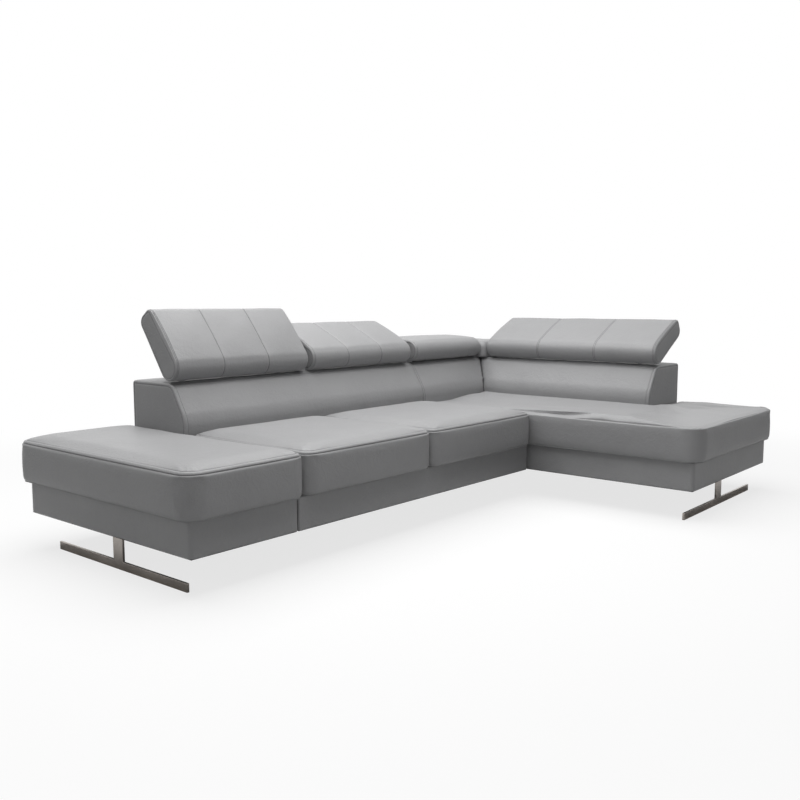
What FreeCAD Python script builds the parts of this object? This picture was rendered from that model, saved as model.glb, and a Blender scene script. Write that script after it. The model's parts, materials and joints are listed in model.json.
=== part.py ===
"""Corner sofa in three units: an open end seat, a two-seat main unit and a corner return.

Millimetres, +Z up, +X along the long back, +Y to the rear. The origin lies on the floor under the
middle of the whole outline.
"""

import FreeCAD
import Part
import Sketcher
import math
import os
import re

DRIVING = {
    "sofa_length": 3110,
    "sofa_depth": 1988,
    "main_depth": 1132,
    "end_seat_width": 517,
    "seat_one_width": 768,
    "seat_two_width": 805,
    "seam_gap": 3,
    "overhang": 32,
    "front_overhang": 35,
    "base_bottom": 146,
    "base_top": 276,
    "seat_crown": 450,
    "board": 22,
    "thin_board": 18,
    "unit_gap": 2,
    "return_gap": 13,
    "return_base_step": 26,
    "back_depth": 378,
    "back_top": 652,
    "back_bend": 505,
    "back_set": 89,
    "pad_depth": 168,
    "end_cheek": 19,
    "return_back_set": 518,
    "cheek_set": 5,
    "back_play": 3,
    "seat_play": 4,
    "cloth": 1,
    "strap_gauge": 2,
    "strap_width": 50,
    "strap_margin": 45,
    "strap_middle": 30,
    "strap_edge": 3,
    "cover_edge": 4,
    "rail_height": 70,
    "rail_width": 40,
    "block_top": 757,
    "runner_length": 846,
    "runner_height": 33,
    "runner_gauge": 10,
    "post_width": 62,
    "skid_inset": 54,
    "skid_back": 8,
    "skid_left": 14,
    "skid_bearer": 100,
    "foot_inset": 90,
    "front_foot_set": 540,
    "side_foot_set": 60,
    "end_foot_set": 340,
    "plate_gauge": 5,
    "axis_set": 111,
    "axis_height": 720,
    "head_radius": 61,
    "head_reach": 271,
    "raised_tilt": 53,
    "middle_tilt": 28,
    "lowered_tilt": 3.5,
    "highest_tilt": 65,
    "ear_gauge": 4,
    "arm_gauge": 3,
    "arm_width": 24,
    "arm_length": 130,
    "hinge_play": 0.5,
    "pivot_radius": 4,
    "foot_gauge": 3,
    "hinge_inset": 110,
    "headrest_one_width": 775,
    "headrest_two_width": 757,
    "headrest_three_width": 633,
    "headrest_four_width": 1055,
    "headrest_gap": 27,
    "bolster_clearance": 10,
    "joining_gauge": 4,
    "joining_half": 70,
    "joining_width": 40,
    "joining_front": 120,
    "joining_rear": 220,
    "rail_ahead": 20,
    "upright_end": 60,
    "headrest_start": 7,
    "foot_depth": 65,
    "foot_width": 34,
    "ear_lean": 52,
    "bolt_across": 13,
    "bolt_head": 5,
    "slab_top": 50,
    "slab_rear": 46,
    "slab_bend": 26,
    "head_board": 12,
    "board_foot": 52,
}

# Planes worked out from the driving dimensions: name and formula.
DERIVED = {
    "left": "-sofa_length / 2",
    "right": "sofa_length / 2",
    "return_front": "-sofa_depth / 2",
    "rear": "sofa_depth / 2",
    "front": "rear - main_depth",
    "joint_one": "left + end_seat_width",
    "joint_two": "joint_one + seat_one_width",
    "joint_three": "joint_two + seat_two_width",
    "base_left": "left + overhang",
    "base_right": "right - overhang",
    "base_front": "front + front_overhang",
    "base_rear": "rear - overhang",
    "base_return_front": "return_front + overhang",
    "return_base_left": "joint_three + return_base_step",
    "main_base_right": "return_base_left - return_gap",
    "strap_top": "base_top + strap_gauge",
    "back_front": "base_rear - back_depth",
    "side_front": "base_right - back_depth",
    "pad_rear": "back_front + pad_depth",
    "side_pad_rear": "side_front + pad_depth",
    "main_back_left": "joint_one + cheek_set",
    "back_joint": "return_base_left - return_gap / 2",
    "side_back_end": "return_front + return_back_set",
    "cover_bottom": "base_bottom - cloth",
    "axis_rear": "back_front + axis_set",
    "axis_side": "side_front + axis_set",
    "panel_top": "back_top - thin_board",
    "skid_centre": "(base_front + base_rear) / 2 - skid_back",
    "end_right": "joint_one - unit_gap",
    "main_left": "joint_one + unit_gap",
    "pad_start": "main_back_left + end_cheek",
    "main_pad_end": "back_joint - back_play",
    "corner_start": "back_joint + back_play",
}

doc = FreeCAD.newDocument("corner_sofa")
dims = doc.addObject("Spreadsheet::Sheet", "dims")
layout = doc.addObject("Spreadsheet::Sheet", "layout")
nodes = []


def formula(text):
    """Point every dimension word of an expression at the sheet that holds it."""
    def sheet_word(found):
        word = found.group(0)
        if word in DRIVING:
            return "dims." + word
        if word in DERIVED:
            return "layout." + word
        return word
    return re.sub(r"[a-z_]+", sheet_word, str(text))


def fill_sheets():
    for row, (word, value) in enumerate(DRIVING.items(), start=1):
        dims.set("A%d" % row, word)
        dims.set("B%d" % row, str(value))
        dims.setAlias("B%d" % row, word)
    doc.recompute()
    for row, (word, rule) in enumerate(DERIVED.items(), start=1):
        layout.set("A%d" % row, word)
        layout.setAlias("B%d" % row, word)
        layout.set("B%d" % row, "=" + formula(rule).replace("layout.", ""))
        doc.recompute()


def size(word):
    """The present value of a dimension or plane."""
    sheet = dims if word in DRIVING else layout
    return float(sheet.get(word))


def node(obj, name):
    """Keep an object as one named piece of the sofa."""
    obj.Label = name
    nodes.append(obj)
    return obj


def block(name, x, y, z):
    """A box between two planes each way; x, y and z are pairs of formulas."""
    box = doc.addObject("Part::Box", name)
    for prop, axis, (low, high) in (("Length", "x", x), ("Width", "y", y), ("Height", "z", z)):
        box.setExpression(prop, formula("(%s) - (%s)" % (high, low)))
        box.setExpression("Placement.Base." + axis, formula(low))
    return box


def group(name, pieces):
    """Several separate solids kept under one name."""
    compound = doc.addObject("Part::Compound", name)
    compound.Links = pieces
    return node(compound, name)


def outline(body, role, corners):
    """A closed sketch on one of the body's own planes, each corner held by two formulas."""
    sketch = body.newObject("Sketcher::SketchObject", body.Name + "_outline")
    plane = [f for f in body.Origin.OriginFeatures if f.Role == role][0]
    sketch.AttachmentSupport = [(plane, "")]
    sketch.MapMode = "FlatFace"
    values = [tuple(number(c) for c in corner) for corner in corners]
    points = [FreeCAD.Vector(u, v, 0) for u, v in values]
    for start, end in zip(points, points[1:] + points[:1]):
        sketch.addGeometry(Part.LineSegment(start, end), False)
    count = len(points)
    for i in range(count):
        sketch.addConstraint(Sketcher.Constraint("Coincident", i, 2, (i + 1) % count, 1))
    for i, corner in enumerate(corners):
        for kind, rule, value in zip(("DistanceX", "DistanceY"), corner, values[i]):
            place = sketch.addConstraint(Sketcher.Constraint(kind, i, 1, value))
            sketch.setExpression("Constraints[%d]" % place, formula(rule))
    return sketch


def number(rule):
    """The number that a formula stands for now, worked out in a spare cell of the sheet."""
    text = re.sub(r"[a-z_]+", lambda found: "(%r)" % size(found.group(0)), str(rule))
    layout.set("D1", "=" + text)
    layout.recompute()
    return float(layout.get("D1"))


def extrude(body, sketch, length, mid=False):
    pad = body.newObject("PartDesign::Pad", body.Name + "_pad")
    pad.Profile = sketch
    pad.setExpression("Length", formula(length))
    pad.Midplane = mid
    return pad


def put(obj, x, y, z, turn=0.0):
    """Place a piece by three formulas, turned about the upright axis."""
    obj.Placement.Rotation = FreeCAD.Rotation(FreeCAD.Vector(0, 0, 1), turn)
    for axis, rule in zip("xyz", (x, y, z)):
        obj.setExpression("Placement.Base." + axis, formula(rule))
    return obj


def round_edges(body, feature, radius, wanted):
    """Fillet the straight edges of a body's feature that pass a test on their middle point."""
    doc.recompute()
    names = []
    for i, edge in enumerate(feature.Shape.Edges, start=1):
        middle = edge.valueAt((edge.FirstParameter + edge.LastParameter) / 2)
        if wanted(middle):
            names.append("Edge%d" % i)
    fillet = body.newObject("PartDesign::Fillet", body.Name + "_round")
    fillet.Base = (feature, names)
    fillet.Radius = radius
    return fillet


# Base boxes

PANEL_ROUND = 18


def front_panel(name, x, y, rounded=()):
    """A base panel whose outer upright edges are rounded where the cover goes round the corner."""
    body = doc.addObject("PartDesign::Body", name)
    corners = (("0", "0"), ("(%s) - (%s)" % (x[1], x[0]), "0"),
               ("(%s) - (%s)" % (x[1], x[0]), "board"), ("0", "board"))
    panel = extrude(body, outline(body, "XY_Plane", corners), "base_top - base_bottom")
    width = number("(%s) - (%s)" % (x[1], x[0]))

    def outer(point):
        upright = abs(point.z - panel.Length.Value / 2) < 1
        at_left = "left" in rounded and point.x < 0.1
        at_right = "right" in rounded and point.x > width - 0.1
        return upright and abs(point.y) < 0.1 and (at_left or at_right)

    if rounded:
        round_edges(body, panel, PANEL_ROUND, outer)
    put(body, x[0], y, "base_bottom")
    return node(body, name)


def make_bases():
    inner_y = ("base_front + board", "base_rear - board")
    main_right = "main_base_right"
    ret_left = "return_base_left"
    full = ("base_bottom", "base_top")
    rear_y = ("base_rear - board", "base_rear")

    def panel(name, x, y):
        node(block(name, x, y, full), name)

    front_panel("end_base_front_panel", ("base_left", "end_right"), "base_front", ("left",))
    panel("end_base_left_panel", ("base_left", "base_left + board"), inner_y)
    panel("end_base_right_panel", ("end_right - board", "end_right"), inner_y)
    panel("end_base_rear_panel", ("base_left", "end_right"), rear_y)

    front_panel("main_base_front_panel", ("main_left", main_right), "base_front")
    panel("main_base_left_panel", ("main_left", "main_left + board"), inner_y)
    panel("main_base_right_panel", (main_right + " - board", main_right), inner_y)
    panel("main_base_rear_panel", ("main_left", main_right), rear_y)
    rails = [
        block("middle_rail", ("joint_two - board / 2", "joint_two + board / 2"),
              ("base_front + board", "back_front"), full),
        block("seat_rear_rail", ("main_left + board", main_right + " - board"),
              ("back_front", "back_front + rail_width"), ("base_top - rail_height", "base_top")),
    ]
    group("main_seat_rails", rails)

    front_panel("return_base_front_panel", (ret_left, "base_right"), "base_return_front", ("left", "right"))
    side_y = ("base_return_front + board", "base_rear - board")
    panel("return_base_inner_panel", (ret_left, ret_left + " + board"), side_y)
    panel("return_base_outer_panel", ("base_right - board", "base_right"), side_y)
    panel("return_base_rear_panel", (ret_left, "base_right"), rear_y)
    inside_x = (ret_left + " + board", "base_right - board")
    seat_x = (ret_left + " + board", "side_front")
    rails = [
        block("return_cross_rail", inside_x, ("base_front", "base_front + board"), full),
        block("return_rear_rail", seat_x, ("back_front", "back_front + rail_width"),
              ("base_top - rail_height", "base_top")),
        block("return_side_rail", ("side_front", "side_front + rail_width"),
              ("base_front + board", "back_front + rail_width"), ("base_top - rail_height", "base_top")),
        block("return_side_rail_front", ("side_front", "side_front + rail_width"),
              ("side_back_end", "base_front"), ("base_top - rail_height", "base_top")),
    ]
    group("return_seat_rails", rails)


def make_bearers():
    """Flat boards low in the base that the skid legs and feet are screwed to."""
    low = ("base_bottom", "base_bottom + board")
    bearers = [
        block("end_bearer", ("base_left + board", "end_right - board"),
              ("skid_centre - skid_bearer / 2", "skid_centre + skid_bearer / 2"), low),
        block("return_bearer", ("return_base_left + board", "base_right - board"),
              ("base_return_front + board", "base_return_front + board + skid_bearer"), low),
    ]
    group("leg_bearers", bearers)


def make_straps():
    """Elastic webbing over the rails, under the cushions."""
    top = ("base_top", "strap_top")
    straps = []

    def row(label, count, x_low, x_high, y):
        for i in range(count):
            start = "%s + ((%s) - (%s) - strap_width) * %d / %d" % (x_low, x_high, x_low, i, count - 1)
            straps.append(block(label, (start, start + " + strap_width"), y, top))

    def column(label, count, y_low, y_high, x):
        for i in range(count):
            start = "%s + ((%s) - (%s) - strap_width) * %d / %d" % (y_low, y_high, y_low, i, count - 1)
            straps.append(block(label, x, (start, start + " + strap_width"), top))

    end_y = ("base_front + strap_edge", "base_rear - strap_edge")
    row("end_strap", 5, "base_left + strap_margin", "joint_one - strap_margin", end_y)
    seat_y = ("base_front + strap_edge", "back_front + rail_width - strap_edge")
    row("seat_one_strap", 7, "joint_one + strap_margin", "joint_two - strap_middle", seat_y)
    row("seat_two_strap", 7, "joint_two + strap_middle", "main_base_right - strap_margin", seat_y)
    return_x = ("return_base_left + strap_edge", "side_front + rail_width - strap_edge")
    end_x = ("return_base_left + strap_edge", "base_right - strap_edge")
    column("return_strap", 8, "side_back_end + strap_margin", "back_front - strap_margin", return_x)
    column("return_end_strap", 4, "base_return_front + strap_margin", "side_back_end - strap_middle", end_x)
    group("seat_webbing_straps", straps)


def make_dust_covers():
    """Thin black cloth stapled under each base."""
    low = ("cover_bottom", "base_bottom")
    y = ("base_front + cover_edge", "base_rear - cover_edge")
    covers = [
        block("end_cover", ("base_left + cover_edge", "end_right - cover_edge"), y, low),
        block("main_cover", ("main_left + cover_edge", "main_base_right - cover_edge"), y, low),
        block("return_cover", ("return_base_left + cover_edge", "base_right - cover_edge"),
              ("base_return_front + cover_edge", "base_rear - cover_edge"), low),
    ]
    group("dust_covers", covers)


# Seat cushions

# Height above the webbing and distance drawn in from the widest outline.
SEAT_RISE = ((0, 14), (18, 0), (145, 0), (164, 14), (172, 41))


def rounded_wire(corners, radii, inset, height):
    """A right-angled outline, drawn in by inset, with an arc at each corner."""
    count = len(corners)
    moved = []
    bends = []
    for i, (x, y) in enumerate(corners):
        before = corners[i - 1]
        after = corners[(i + 1) % count]
        into = FreeCAD.Vector(x - before[0], y - before[1], 0).normalize()
        out = FreeCAD.Vector(after[0] - x, after[1] - y, 0).normalize()
        shift = FreeCAD.Vector(-into.y - out.y, into.x + out.x, 0) * inset
        moved.append(FreeCAD.Vector(x, y, height) + shift)
        convex = into.cross(out).z > 0
        bends.append(max(3.0, radii[i] - inset if convex else radii[i] + inset))
    edges = []
    last = None
    first = None
    for i, corner in enumerate(moved):
        back = (moved[i - 1] - corner).normalize()
        ahead = (moved[(i + 1) % count] - corner).normalize()
        radius = bends[i]
        start = corner + back * radius
        end = corner + ahead * radius
        middle = corner + (back + ahead) * radius * (1 - math.sqrt(0.5))
        if last is not None:
            edges.append(Part.LineSegment(last, start).toShape())
        else:
            first = start
        edges.append(Part.Arc(start, middle, end).toShape())
        last = end
    edges.append(Part.LineSegment(last, first).toShape())
    return Part.Wire(edges)


def cushion(name, corners, radii):
    """A seat cushion: tucked in at the foot, full at mid height, crowned on top."""
    bottom = size("strap_top")
    wires = [rounded_wire(corners, radii, inset, bottom + rise) for rise, inset in SEAT_RISE]
    piece = doc.addObject("Part::Feature", name)
    piece.Shape = Part.makeLoft(wires, True, True)
    return node(piece, name)


def make_cushions():
    gap = size("seam_gap")
    front = size("front")
    back = size("back_front") - size("seat_play")
    one, two, three = (size("joint_" + n) for n in ("one", "two", "three"))

    def rectangle(x0, x1, y0, y1):
        return ((x0, y0), (x1, y0), (x1, y1), (x0, y1))

    end = rectangle(size("left"), one - gap, front, size("rear"))
    cushion("end_seat_cushion", end, (75, 45, 45, 60))
    cushion("seat_cushion_one", rectangle(one + gap, two - gap, front, back), (60, 45, 60, 60))
    cushion("seat_cushion_two", rectangle(two + gap, three - gap, front, back), (45, 45, 60, 60))
    left = three + gap
    side = size("side_front") - size("seat_play")
    step = size("side_back_end") - size("seat_play")
    corners = ((left, size("return_front")), (size("right"), size("return_front")),
               (size("right"), step), (side, step), (side, back), (left, back))
    cushion("return_seat_cushion", corners, (80, 80, 50, 12, 45, 45))


# Back

BACK_BEND_ROUND = 120
BACK_TOP_ROUND = 45
REAR_TOP_ROUND = 14


def back_profile(body, depth):
    """The back's section: upright behind the seat, then leaning, then flat on top."""
    corners = (("0", "strap_top"), (depth, "strap_top"), (depth, "back_top"),
               ("back_set", "back_top"), ("0", "back_bend"))
    return outline(body, "YZ_Plane", corners)


def back_form(name, length, depth, rear_round=False):
    body = doc.addObject("PartDesign::Body", name)
    solid = extrude(body, back_profile(body, depth), length)
    bend = size("back_bend")
    top = size("back_top")
    lean = size("back_set")

    def at(point, y, z):
        return abs(point.y - y) < 0.5 and abs(point.z - z) < 0.5

    last = round_edges(body, solid, BACK_BEND_ROUND, lambda p: at(p, 0, bend))
    last = round_edges(body, last, BACK_TOP_ROUND, lambda p: at(p, lean, top))
    if rear_round:
        last = round_edges(body, last, REAR_TOP_ROUND, lambda p: at(p, size(depth), top))
    return body


def mitre(name, pad, keep_left):
    """Cut a back pad on the diagonal that runs out from the inner corner of the two backs."""
    tool = doc.addObject("Part::Box", name + "_diagonal")
    side = 600
    ahead = 50
    tool.Length = side
    tool.Width = side
    tool.Height = side
    tool.Placement.Rotation = FreeCAD.Rotation(FreeCAD.Vector(0, 0, 1), 45)
    across = side if keep_left else 0
    tool.setExpression("Placement.Base.x", formula("side_front + %d * sqrt(0.5)" % (across - ahead)))
    tool.setExpression("Placement.Base.y", formula("back_front - %d * sqrt(0.5)" % (across + ahead)))
    tool.setExpression("Placement.Base.z", formula("base_bottom"))
    half = doc.addObject("Part::Cut", name)
    half.Base = pad
    half.Tool = tool
    return node(half, name)


def make_backs():
    cheek = back_form("main_back_cheek", "end_cheek", "back_depth", True)
    node(put(cheek, "main_back_left", "back_front", "0"), "main_back_cheek")
    pad = back_form("main_back_pad", "main_pad_end - pad_start", "pad_depth")
    node(put(pad, "pad_start", "back_front", "0"), "main_back_pad")

    rear_pad = back_form("return_rear_pad_blank", "side_pad_rear - corner_start", "pad_depth")
    put(rear_pad, "corner_start", "back_front", "0")
    mitre("return_rear_pad", rear_pad, True)
    side_pad = back_form("return_side_pad_blank", "pad_rear - side_back_end - end_cheek", "pad_depth")
    put(side_pad, "side_front", "pad_rear", "0", -90)
    mitre("return_side_pad", side_pad, False)
    side_cheek = back_form("return_back_cheek", "end_cheek", "back_depth", True)
    node(put(side_cheek, "side_front", "side_back_end + end_cheek", "0", -90), "return_back_cheek")

    inner = "base_rear - thin_board"
    side_inner = "base_right - thin_board"
    up = ("base_top", "panel_top")
    lid = ("panel_top", "back_top")
    main_x = ("pad_start", "main_pad_end")
    node(block("main_back_rear_panel", main_x, (inner, "base_rear"), up), "main_back_rear_panel")
    node(block("main_back_top_board", main_x, ("pad_rear", "base_rear"), lid), "main_back_top_board")
    corner_x = ("corner_start", "base_right")
    node(block("return_back_rear_panel", corner_x, (inner, "base_rear"), up), "return_back_rear_panel")
    side_y = ("side_back_end + end_cheek", inner)
    node(block("return_back_side_panel", (side_inner, "base_right"), side_y, up), "return_back_side_panel")
    node(block("return_rear_top_board", corner_x, ("pad_rear", "base_rear"), lid), "return_rear_top_board")
    node(block("return_side_top_board", ("side_pad_rear", "base_right"),
               ("side_back_end + end_cheek", "pad_rear"), lid), "return_side_top_board")

    deep = ("pad_rear", inner)
    side_deep = ("side_pad_rear", side_inner)
    uprights = []
    for i in range(4):
        start = "pad_start + (main_pad_end - pad_start - thin_board) * %d / 3" % i
        uprights.append(block("main_upright", (start, start + " + thin_board"), deep, up))
    for start in ("corner_start", "side_front"):
        uprights.append(block("corner_upright", (start, start + " + thin_board"), deep, up))
    side_span = "(pad_rear - side_back_end - end_cheek - upright_end)"
    for i in range(3):
        start = "side_back_end + end_cheek + %s * %d / 2" % (side_span, i)
        uprights.append(block("side_upright", side_deep, (start, start + " + thin_board"), up))
    group("back_uprights", uprights)


def make_back_foot_rails():
    """Boards let into the base under the backs; the uprights stand on them."""
    low = ("base_top - thin_board", "base_top")
    rails = [
        block("main_foot_rail", ("main_left + board", "main_base_right - board"),
              ("pad_rear - rail_ahead", "base_rear - board"), low),
        block("corner_foot_rail", ("return_base_left + board", "side_front + rail_width"),
              ("pad_rear - rail_ahead", "base_rear - board"), low),
        block("side_foot_rail", ("side_pad_rear - rail_ahead", "base_right - board"),
              ("base_front + board", "base_rear - board"), low),
        block("side_foot_rail_front", ("side_pad_rear - rail_ahead", "base_right - board"),
              ("side_back_end", "base_front"), low),
    ]
    group("back_foot_rails", rails)


# Share of the corner pad's height and distance drawn in.
CORNER_RISE = ((0, 6), (0.15, 0), (0.65, 0), (0.9, 12), (1, 34))
CORNER_RADII = (40, 38, 38, 38)


def make_corner_block():
    """The fixed pad at the outer corner, level with the lowered headrests."""
    clear = size("bolster_clearance")
    x0 = size("axis_side") - size("head_radius") + clear
    y0 = size("axis_rear") - size("head_radius") - clear
    x1 = size("base_right")
    y1 = size("base_rear")
    corners = ((x0, y0), (x1, y0), (x1, y1), (x0, y1))
    bottom = size("back_top")
    rise = size("block_top") - bottom
    wires = [rounded_wire(corners, CORNER_RADII, inset, bottom + rise * up) for up, inset in CORNER_RISE]
    piece = doc.addObject("Part::Feature", "corner_block_pad")
    piece.Shape = Part.makeLoft(wires, True, True)
    node(piece, "corner_block_pad")


# Legs

PLATE_REACH = 96
FOOT_WIDTH = 54
FOOT_TAPER = 6


def make_skid(name, centre, across, turn):
    """A welded steel leg: flat runner on the floor, upright post and a screw plate under the base."""
    top = "cover_bottom"
    half = "runner_length / 2"
    runner = block(name + "_runner", ("0", "runner_gauge"), ("-" + half, half), ("0", "runner_height"))
    post = block(name + "_post", ("0", "runner_gauge"), ("-post_width / 2", "post_width / 2"),
                 ("runner_height", top))
    plate = block(name + "_plate", ("0", str(PLATE_REACH)), ("-post_width / 2", "post_width / 2"),
                  (top + " - plate_gauge", top))
    weld = doc.addObject("Part::MultiFuse", name + "_weld")
    weld.Shapes = [runner, post, plate]
    return node(put(weld, centre, across, "0", turn), name)


def make_legs():
    make_skid("left_skid_leg", "base_left + skid_inset", "skid_centre", 0)
    make_skid("return_skid_leg", "(return_base_left + base_right) / 2 - skid_left",
              "base_return_front + skid_inset", 90)


def make_feet():
    """Plain tapered block feet well under the units, out of sight."""
    low_y = "base_front + front_foot_set"
    high_y = "base_rear - foot_inset"
    left_x = "joint_one + foot_inset"
    right_x = "main_base_right - foot_inset"
    corner_x = "base_right - foot_inset"
    places = [
        (left_x, low_y), (right_x, low_y), (left_x, high_y), (right_x, high_y),
        (corner_x, high_y), (corner_x, "base_front + side_foot_set"),
        ("base_left + end_foot_set", high_y),
    ]
    feet = []
    for x, y in places:
        foot = doc.addObject("Part::Wedge", "foot")
        half_top = FOOT_WIDTH / 2
        half_foot = half_top - FOOT_TAPER
        foot.Xmin = foot.Zmin = -half_foot
        foot.Xmax = foot.Zmax = half_foot
        foot.X2min = foot.Z2min = -half_top
        foot.X2max = foot.Z2max = half_top
        foot.Ymin = 0
        foot.setExpression("Ymax", formula("cover_bottom"))
        foot.Placement.Rotation = FreeCAD.Rotation(FreeCAD.Vector(1, 0, 0), 90)
        foot.setExpression("Placement.Base.x", formula(x))
        foot.setExpression("Placement.Base.y", formula(y))
        feet.append(foot)
    group("block_feet", feet)


def make_joining_plates():
    """Flat steel plates screwed under neighbouring bases, which hold the units together."""
    level = ("cover_bottom - joining_gauge", "cover_bottom")
    plates = []
    for joint in ("joint_one", "main_base_right + return_gap / 2"):
        x = (joint + " - joining_half", joint + " + joining_half")
        for y in ("base_front + joining_front", "base_rear - joining_rear"):
            plates.append(block("joining_plate", x, (y, y + " + joining_width"), level))
    group("joining_plates", plates)


# Headrests

EAR_HALF = 11
# The ear's web leaves the disc at these points and stands this far behind the pin.
EAR_NECK = (7.4, 8.2)
EAR_STAND = (49, 92)
BORE_PLAY = 0.05


def slab_section(x, inset, crown):
    """The headrest's section at x: round at the foot about the hinge, thinner and rounded on top."""
    radius = size("head_radius") - inset
    reach = size("head_reach") - inset
    top_front = size("slab_top") - inset
    top_rear = inset - size("slab_rear")
    bend = size("slab_bend") - inset / 2

    def at(along, normal):
        return FreeCAD.Vector(x, along, normal)

    half = math.sqrt(0.5)
    foot_front = at(0, radius)
    foot_low = at(-radius, 0)
    foot_rear = at(0, -radius)
    rear_end = at(reach - bend, top_rear)
    rear_mid = at(reach - bend + bend * half, top_rear + bend * (1 - half))
    end_rear = at(reach, top_rear + bend)
    end_front = at(reach, top_front - bend)
    front_mid = at(reach - bend + bend * half, top_front - bend * (1 - half))
    front_end = at(reach - bend, top_front)
    face_mid = at((reach - bend) / 2, (radius + top_front) / 2 + crown)
    shapes = (
        Part.Arc(foot_front, at(-radius * half, radius * half), foot_low),
        Part.Arc(foot_low, at(-radius * half, -radius * half), foot_rear),
        Part.LineSegment(foot_rear, rear_end),
        Part.Arc(rear_end, rear_mid, end_rear),
        Part.LineSegment(end_rear, end_front),
        Part.Arc(end_front, front_mid, front_end),
        Part.Arc(front_end, face_mid, foot_front),
    )
    return Part.Wire([shape.toShape() for shape in shapes])


def slab(width, panels):
    """The stuffed slab, drawn in at its ends and along the seams between its panels."""
    full_crown = 9
    seam_crown = 4
    end_inset = 7
    round_end = 12
    end_crown = 2
    sections = [(0, end_inset, end_crown), (round_end, 0, full_crown)]
    for i in range(1, panels):
        seam = width * i / panels
        sections.append((seam - round_end, 0, full_crown))
        sections.append((seam, 0, seam_crown))
        sections.append((seam + round_end, 0, full_crown))
    sections += [(width - round_end, 0, full_crown), (width, end_inset, end_crown)]
    return Part.makeLoft([slab_section(*section) for section in sections], True, True).removeSplitter()


def turned(along, normal, degrees):
    """A point of the hinge's plane turned about the hinge pin."""
    angle = math.radians(degrees)
    return (along * math.cos(angle) - normal * math.sin(angle),
            along * math.sin(angle) + normal * math.cos(angle))


def prism(points, x, width):
    """A straight-sided piece from an outline across the hinge's axis."""
    corners = [FreeCAD.Vector(x, along, normal) for along, normal in points]
    face = Part.Face(Part.makePolygon(corners + corners[:1]))
    return face.extrude(FreeCAD.Vector(width, 0, 0))


def hinge_room(x):
    """The space in the stuffing round one hinge: the arm's channel and the ear's swept slot."""
    wide = 26
    half = 14
    slot_wide = 10
    long = size("arm_length") + 4 + half
    channel = Part.makeBox(wide, long, 2 * half, FreeCAD.Vector(x - wide / 2, -half, -half))
    low = size("lowered_tilt")
    high = size("highest_tilt")
    # The ear's corners, with clearance, seen from the slab at both ends of its travel.
    rear_foot = turned(106, -62, -low)
    rear_root = turned(10, 12, -low)
    front_foot = turned(45, -76, -high)
    front_root = turned(-12, -9, -high)
    outside = ((60, -140), (-60, -120))
    slot = prism((rear_root, rear_foot) + outside + (front_foot, front_root), x - slot_wide / 2, slot_wide)
    return channel.fuse(slot)


def circle(body, name, radius):
    """A round sketch about the pin."""
    sketch = body.newObject("Sketcher::SketchObject", name)
    plane = [f for f in body.Origin.OriginFeatures if f.Role == "YZ_Plane"][0]
    sketch.AttachmentSupport = [(plane, "")]
    sketch.MapMode = "FlatFace"
    upward = FreeCAD.Vector(0, 0, 1)
    sketch.addGeometry(Part.Circle(FreeCAD.Vector(0, 0, 0), upward, number(radius)), False)
    sketch.addConstraint(Sketcher.Constraint("Coincident", 0, 3, -1, 1))
    place = sketch.addConstraint(Sketcher.Constraint("Radius", 0, number(radius)))
    sketch.setExpression("Constraints[%d]" % place, formula(radius))
    return sketch


def ear():
    """The fixed half: a foot on the back's top board and an ear that rises to the pin."""
    body = doc.addObject("PartDesign::Body", "hinge_ear")
    drop = "back_top + foot_gauge - axis_height"
    along, up = EAR_NECK
    near, far = EAR_STAND
    corners = ((str(-along), str(-up)), (str(near), drop), (str(far), drop), (str(along), str(up)))
    web = outline(body, "YZ_Plane", corners)
    extrude(body, web, "ear_gauge", True)
    extrude(body, circle(body, "ear_disc", str(EAR_HALF)), "ear_gauge", True)
    foot = outline(body, "YZ_Plane", (("ear_lean", drop), ("ear_lean + foot_depth", drop),
                                      ("ear_lean + foot_depth", drop + " - foot_gauge"),
                                      ("ear_lean", drop + " - foot_gauge")))
    extrude(body, foot, "foot_width", True)
    pocket = body.newObject("PartDesign::Pocket", "ear_pocket")
    pocket.Profile = circle(body, "ear_bore", "pivot_radius + %s" % BORE_PLAY)
    pocket.Type = "ThroughAll"
    pocket.Midplane = True
    doc.recompute()
    return body.Shape


def arm():
    """The moving half: two cheeks beside the ear, joined by a web under the headrest's board."""
    gauge = size("arm_gauge")
    inner = size("ear_gauge") / 2 + size("hinge_play")
    half = size("arm_width") / 2
    length = size("arm_length")
    start = size("board_foot")
    along = FreeCAD.Vector(1, 0, 0)
    cheeks = []
    for x in (inner, -inner - gauge):
        plate = Part.makeBox(gauge, length, 2 * half, FreeCAD.Vector(x, 0, -half))
        disc = Part.makeCylinder(half, gauge, FreeCAD.Vector(x, 0, 0), along)
        cheeks.append(plate.fuse(disc))
    wide = 2 * (inner + gauge)
    web = Part.makeBox(wide, length - start, gauge, FreeCAD.Vector(-wide / 2, start, -half))
    solid = cheeks[0].fuse([cheeks[1], web]).removeSplitter()
    bore = Part.makeCylinder(size("pivot_radius"), 2 * wide, FreeCAD.Vector(-wide, 0, 0), along)
    return solid.cut(bore)


def pivot_bolt():
    """A bolt with a hexagonal head and nut, drawn up so that the cheeks grip the ear."""
    side = size("ear_gauge") / 2 + size("hinge_play") + size("arm_gauge")
    high = size("bolt_head")
    along = FreeCAD.Vector(1, 0, 0)
    reach = size("bolt_across") / 2 / math.cos(math.pi / 6)
    corners = [(reach * math.cos(k * math.pi / 3), reach * math.sin(k * math.pi / 3)) for k in range(6)]
    shank = Part.makeCylinder(size("pivot_radius"), 2 * side, FreeCAD.Vector(-side, 0, 0), along)
    return shank.fuse([prism(corners, -side - high, high), prism(corners, side, high)])


def feature(name, shape, placement):
    piece = doc.addObject("Part::Feature", name)
    piece.Shape = shape
    piece.Placement = placement
    return node(piece, name)


def shifted(shape, x):
    copy = shape.copy()
    copy.translate(FreeCAD.Vector(x, 0, 0))
    return copy


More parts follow.
